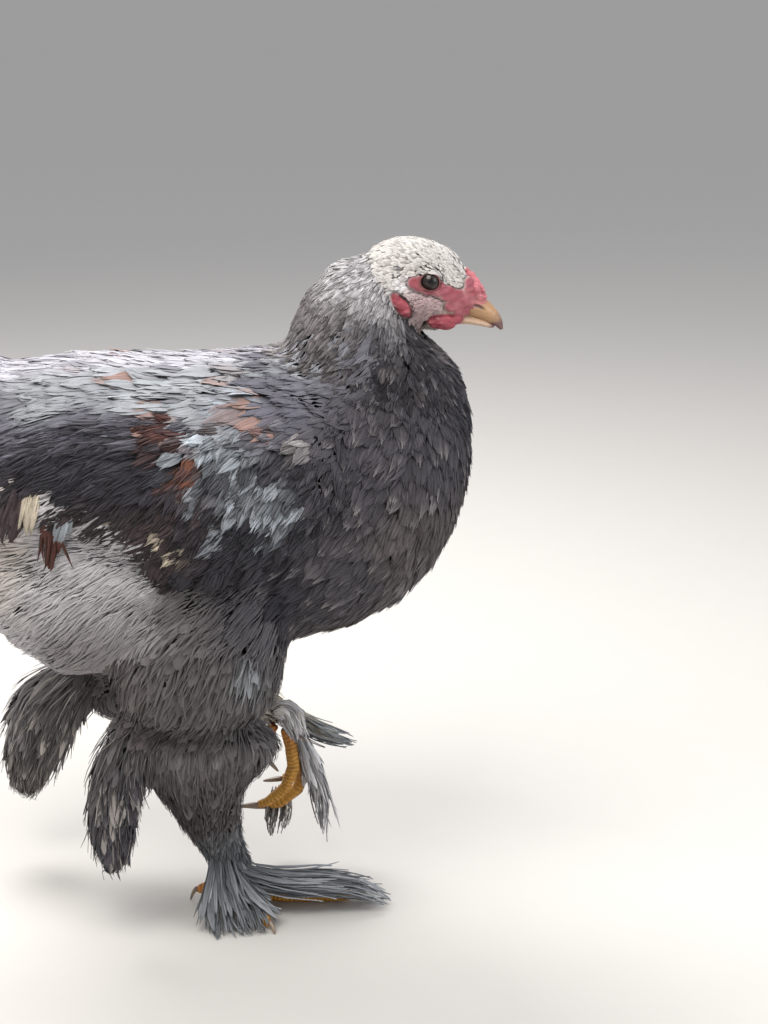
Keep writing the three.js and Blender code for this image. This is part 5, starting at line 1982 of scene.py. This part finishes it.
class MakeTailFeathers(bpy.types.Operator):
    """Lay the tail and its coverts"""

    bl_idname = "hen.tail_feathers"
    bl_label = "Tail"

    def execute(self, context):
        rng = np.random.default_rng(settings().coat.seed + 800)
        coat_piece("tail_covert_feathers", ["tail_coverts"], "tail_feather", "body",
                   (-110, MID, 295), (-200, MID, 345), crowd=0.45, high=0.95, proud=1.0, seed=8,
                   barbs=7)
        for side, way in WAYS.items():
            vanes, clumps = Vanes("broad", "quill"), Vanes("lock", "lock", 0.7)
            spine, up = tail_spines(vanes.places, way)
            length = lengths(spine)
            base = mix(colour("grey"), colour("silver"), rng.uniform(0.0, 0.55, (TAIL_QUILLS, 1)))
            tint = base[:, None] * np.linspace(0.7, 1.0, len(vanes.places))[None, :, None]
            width, girth = rng.uniform(*TAIL_WIDTH, TAIL_QUILLS), 1.3
            patch = unwrapped(spine[:, 4], *TAIL_LINE)
            # The quills under the barbs are painted darker, as painted shade in the gaps between the
            # barbs.
            vanes.add(spine, up, length, width, girth, 0.12, tint * 0.85, patch, rng, 0.06, tint[:, -1])
            spine, up, tint = evened(vanes, spine, up, tint)
            add_barbs(clumps, TAIL_BARBS, spine, up, length * 0.97, width, girth, tint, patch, rng, 0.06)
            finish_vanes(vanes, f"tail_quills_{side}", "quill", "tail_feather", f"tail_{side}")
            finish_vanes(clumps, f"tail_barbs_{side}", "quill", "tail_feather")
        return {"FINISHED"}


class MakeFluff(bpy.types.Operator):
    """Lay the fluff behind the legs and its down"""

    bl_idname = "hen.fluff"
    bl_label = "Fluff"

    def execute(self, context):
        places = (10, MID, 200), (-165, MID, 205)
        coat_piece("fluff_feathers", ["fluff"], "down", "down", *places, outline="hackle",
                   crowd=0.46, broad=0.78, low=0.35, high=0.86, proud=0.6, unrest=12, fray=0.3, seed=9,
                   rootward=0.9, soft=0.8, spread=0.05)
        for i, (low, high) in enumerate([(0.7, 0.95), (0.78, 1.0)]):
            coat_piece(f"fluff_down_{i + 1}", ["fluff"], "down", "down", *places, section="lock",
                       outline="lock", crowd=0.21, broad=0.16, low=low, high=high, proud=0.6,
                       unrest=14, fray=0.2, thick=0.16, camber=0, seed=30 + i, rootward=0.97,
                       soft=0.9, spread=0.05, uneven=0.04)
        return {"FINISHED"}


class MakeLegFeathers(bpy.types.Operator):
    """Lay the feathers of thighs, shanks and hocks"""

    bl_idname = "hen.leg_feathers"
    bl_label = "Legs"

    def execute(self, context):
        places = (-30, MID, 225), (-30, MID, 10)
        kinds = (
            ("thigh", ["thigh"], 11, 1.0, 0.8, 0.06),
            ("shank", ["boot", "shank_left"], 13, 1.0, 0.8, 0.09),
            ("hock", ["hock_right", "hock_left"], 15, 1.2, 2.2, 0.2),
        )
        for name, wanted, seed, reach, proud, spread in kinds:
            coat_piece(f"{name}_feathers", wanted, "leg_feather", "down", *places,
                       outline="hackle", crowd=0.52, low=0.3, high=0.88, proud=proud * 0.8, unrest=11,
                       fray=0.25, seed=seed, rootward=0.85, reach=reach, soft=0.7, spread=spread,
                       free=0.3)
            coat_piece(f"{name}_down", wanted, "leg_feather", "down", *places, section="lock",
                       outline="lock", crowd=0.31, broad=0.18, reach=reach, low=0.6, high=1.02,
                       proud=proud, unrest=15, fray=0.2, thick=0.25, camber=0, seed=seed + 1,
                       rootward=0.9, soft=0.75, spread=spread, free=0.3)
        return {"FINISHED"}


# Fans of long feathers on the feet: the solid they take the place of, rows of x, y, z, half height
# and half width, the way their upper side faces, how many feathers, and colours at root and tip
FANS = [
    ("right_middle",
     [(-6, -6, 32, 7, 8), (3, -9, 24, 7, 9), (24, -11, 19, 7, 13), (47, -8, 17.5, 6, 15),
      (67, -3, 13, 5, 13), (82, 0, 7, 3, 9), (91, 1, 2.5, 1.2, 5)],
     (0, 0, 1), 46, "steel", "frost"),
    ("right_outer",
     [(-8, -8, 40, 7, 9), (-7, -14, 27, 8, 12), (-3, -24, 16, 7, 17), (2, -34, 8, 5, 20),
      (5, -42, 3.5, 2.5, 19), (7, -48, 1.6, 1, 15)],
     (0, -0.3, 1), 44, "steel", "frost"),
    ("left_front",
     [(22, 56, 104, 5, 8), (31, 58, 96, 6, 9), (42, 58, 88, 7, 11), (54, 58, 83, 6, 11),
      (63, 58, 80, 4, 9), (70, 58, 78, 1.5, 5)],
     (0.2, 0, 1), 30, "beige", "frost"),
    ("left_front",
     [(16, 52, 100, 3, 8), (23, 52, 103, 3, 10), (29, 52, 101, 3, 10), (34, 54, 95, 4, 10),
      (36, 55, 88, 4, 9), (37, 56, 81, 2, 7)],
     (1, 0, 0.6), 30, "cream", "white"),
    ("left_front",
     [(18, 44, 103, 1.5, 4), (24, 43, 105, 1.5, 7), (29, 42, 102, 1.5, 8), (32, 40, 95, 1.5, 6),
      (34, 40, 89, 1.5, 5), (35, 40, 85, 1, 3)],
     (0, -1, 0), 22, "cream", "white"),
    ("left_hanging",
     [(30, 57, 90, 6, 8), (38, 57, 76, 6, 9), (44, 58, 60, 7, 11), (46, 58, 45, 7, 11),
      (48, 58, 30, 5, 9), (50, 57.5, 15, 2, 5)],
     (1, 0, 0.2), 20, "steel", "cloud"),
    ("left_hanging",
     [(35, 40, 90, 2, 3), (39, 40, 80, 2, 4), (43, 42, 68, 2, 5), (47, 45, 54, 2, 5),
      (50, 49, 37, 2, 4), (52, 53, 15, 2, 3)],
     (0, -1, 0), 15, "cloud", "white"),
    ("left_under",
     [(22, 58, 50, 6, 7), (22, 58, 42, 9, 8), (21, 58.5, 33, 11, 9), (19, 59, 24, 9, 8),
      (18, 59, 15, 5, 5)],
     (1, 0, 0), 24, "beige", "ash"),
]
FAN_KINDS = ((1, 1.0, 0.6, 0.35), (3, 0.28, 0.4, 0.6))  # how many times, breadth, thickness, start
FAN_REACH = (0.3, 0.52)  # length of a feather, as a share of its fan
FAN_WIDTH = (4.2, 6.2)
ABOVE_FLOOR = 0.9  # the least height of a foot feather's shaft


def fan_feathers(vanes, rows, upward, count, root, tip, rng):
    """Long feathers that spread along and across one fan."""
    rows = np.array(rows, float)
    t = vanes.places
    for times, broad, thick, start_at in FAN_KINDS:
        n = count * times
        aside = rng.uniform(-1, 1, (n, 1))
        level = rng.uniform(-0.9, 0.9, (n, 1))
        start = rng.uniform(0, start_at, (n, 1)) ** 1.2
        reach = rng.uniform(*FAN_REACH, (n, 1))
        end = np.minimum(start + reach, 1 - 0.1 * aside**2 - rng.uniform(0, 0.06, (n, 1)))
        at = curve(rows, start + (end - start) * t)
        ahead = unit(np.gradient(at[..., :3], axis=1))
        side = unit(np.cross(ahead, unit(np.array(upward, float))))
        over = np.cross(side, ahead)
        spine = (
            at[..., :3]
            + side * (aside * (0.8 + 0.2 * t) * at[..., 4])[..., None]
            + over * ((level - 0.25 * aside**2) * at[..., 3])[..., None] * 0.8
        )
        length = lengths(spine)
        stray = rng.normal(0, 0.12, (n, 1, 1)) * t[None, :, None] ** 2 * length[:, None, None]
        spine = spine + side * stray
        spine[..., 2] = np.maximum(spine[..., 2], ABOVE_FLOOR)
        tint = mix(colour(root) * 0.8, colour(tip), ease(0.2, 0.9, t)[None, :, None])
        tint = tint * rng.uniform(0.42, 1.1, (n, 1, 1))
        width = rng.uniform(*FAN_WIDTH, n) * broad
        patch = unwrapped(spine[:, 0], rows[0, :3], rows[-1, :3], (0.1, 0.9, 0.4))
        vanes.add(spine, over, length, width, thick, 0.15, tint, patch, rng, 0.3, tint[:, -1] * 1.15)


class MakeFootFeathers(bpy.types.Operator):
    """Lay the fans of long feathers on the feet"""

    bl_idname = "hen.foot_feathers"
    bl_label = "Foot feathers"

    def execute(self, context):
        rng = np.random.default_rng(settings().coat.seed + 900)
        for name in dict.fromkeys(fan[0] for fan in FANS):
            vanes = Vanes("broad", "hackle")
            for fan in FANS:
                if fan[0] == name:
                    fan_feathers(vanes, *fan[1:], rng)
            finish_vanes(vanes, f"fan_{name}", "quill", "leg_feather", f"foot_feathers_{name}")
        return {"FINISHED"}


# The stage

# The camera looks along +Y and down, and is set from the eye, the beak and the standing foot
CAMERA = (85.37, -1142.58, 546.14)
FOCAL = 2100.0  # the photograph's focal length in its own pixels
PHOTO = (768, 1024)
SENSOR = 36.0
FLOOR_REACH = 40000.0
SKY_TINT = (0.93, 0.95, 1.0, 1)
SKY_DIMMED = 0.355  # how much darker the sky looks than it shines, so that it meets the far floor
AIM = (-20, 0, 220)
# Lamps: name, place, size, the setting that gives its power, the share of that, and colour
LAMPS = [
    ("key_lamp", (-300, -720, 1450), 900, "key", 1.0, (1.0, 0.96, 0.9)),
    ("rim_lamp", (-450, 700, 1350), 800, "rim", 1.0, (1.0, 0.98, 0.95)),
    ("front_lamp", (1100, -700, 700), 900, "key", 0.3, (0.92, 0.96, 1.0)),
]


def soft_world(fill):
    """Even light all round, from a sky that looks dimmer than it shines."""
    world = bpy.data.worlds.new("soft_light")
    world.use_nodes = True
    tree = world.node_tree
    sky = tree.nodes["Background"].inputs
    sky["Color"].default_value = SKY_TINT
    seen = node(tree, "ShaderNodeLightPath").outputs["Is Camera Ray"]
    dimmed = maths(tree, "SUBTRACT", 1.0, maths(tree, "MULTIPLY", seen, SKY_DIMMED))
    tree.links.new(maths(tree, "MULTIPLY", dimmed, fill), sky["Strength"])
    return world


class MakeStage(bpy.types.Operator):
    """Set out the floor, the lamps and the camera"""

    bl_idname = "hen.stage"
    bl_label = "Stage"

    def execute(self, context):
        stage = settings().stage
        scene = context.scene
        scene.view_settings.view_transform = "Standard"
        r = FLOOR_REACH
        floor = plain_mesh("floor", [(-r, -r, 0), (r, -r, 0), (r, r, 0), (-r, r, 0)], [(0, 1, 2, 3)])
        floor.data.materials.append(floor_finish())
        scene.world = soft_world(stage.fill)
        for name, place, size, power, portion, tint in LAMPS:
            lamp = bpy.data.lights.new(name, "AREA")
            lamp.size = size * MM
            lamp.energy = getattr(stage, power) * portion
            lamp.color = tint
            held = put_in_scene(name, lamp)
            held.location = Vector(place) * MM
            held.rotation_euler = (Vector(place) - Vector(AIM)).to_track_quat("Z", "Y").to_euler()
        camera = bpy.data.cameras.new("photo_camera")
        camera.sensor_width = SENSOR
        camera.lens = SENSOR * FOCAL / max(PHOTO)
        scene.camera = put_in_scene("photo_camera", camera)
        scene.camera.location = Vector(CAMERA) * MM
        scene.camera.rotation_euler = (math.pi / 2 - stage.tilt, 0, 0)
        return {"FINISHED"}


# The add-on

class HenSettings(bpy.types.PropertyGroup):
    colours: PointerProperty(type=HenColours)
    coat: PointerProperty(type=HenCoat)
    head: PointerProperty(type=HenHead)
    stage: PointerProperty(type=HenStage)


STEPS = [
    MakeStage, MakeSkin, MakeEyes, MakeBeak, MakeClaws, MakeHeadFeathers, MakeHackle,
    MakeBodyFeathers, MakeWingFeathers, MakeTailFeathers, MakeFluff, MakeLegFeathers, MakeFootFeathers,
]


class HenPanel(bpy.types.Panel):
    """The pieces of the hen, in the order they are made"""

    bl_idname = "VIEW3D_PT_hen"
    bl_label = "Brahma hen"
    bl_space_type = "VIEW_3D"
    bl_region_type = "UI"
    bl_category = "Brahma hen"

    def draw(self, context):
        for step in STEPS:
            self.layout.operator(step.bl_idname)
        for group in ("colours", "coat", "head", "stage"):
            box = self.layout.box()
            values = getattr(context.scene.hen, group)
            for name in values.__annotations__:
                box.prop(values, name)


CLASSES = [HenColours, HenCoat, HenHead, HenStage, HenSettings, *STEPS, HenPanel]


def register():
    for cls in CLASSES:
        bpy.utils.register_class(cls)
    bpy.types.Scene.hen = PointerProperty(type=HenSettings)


def unregister():
    del bpy.types.Scene.hen
    for cls in reversed(CLASSES):
        bpy.utils.unregister_class(cls)


def main():
    register()
    for step in STEPS:
        group, name = step.bl_idname.split(".")
        getattr(getattr(bpy.ops, group), name)()


if __name__ == "__main__":
    main()
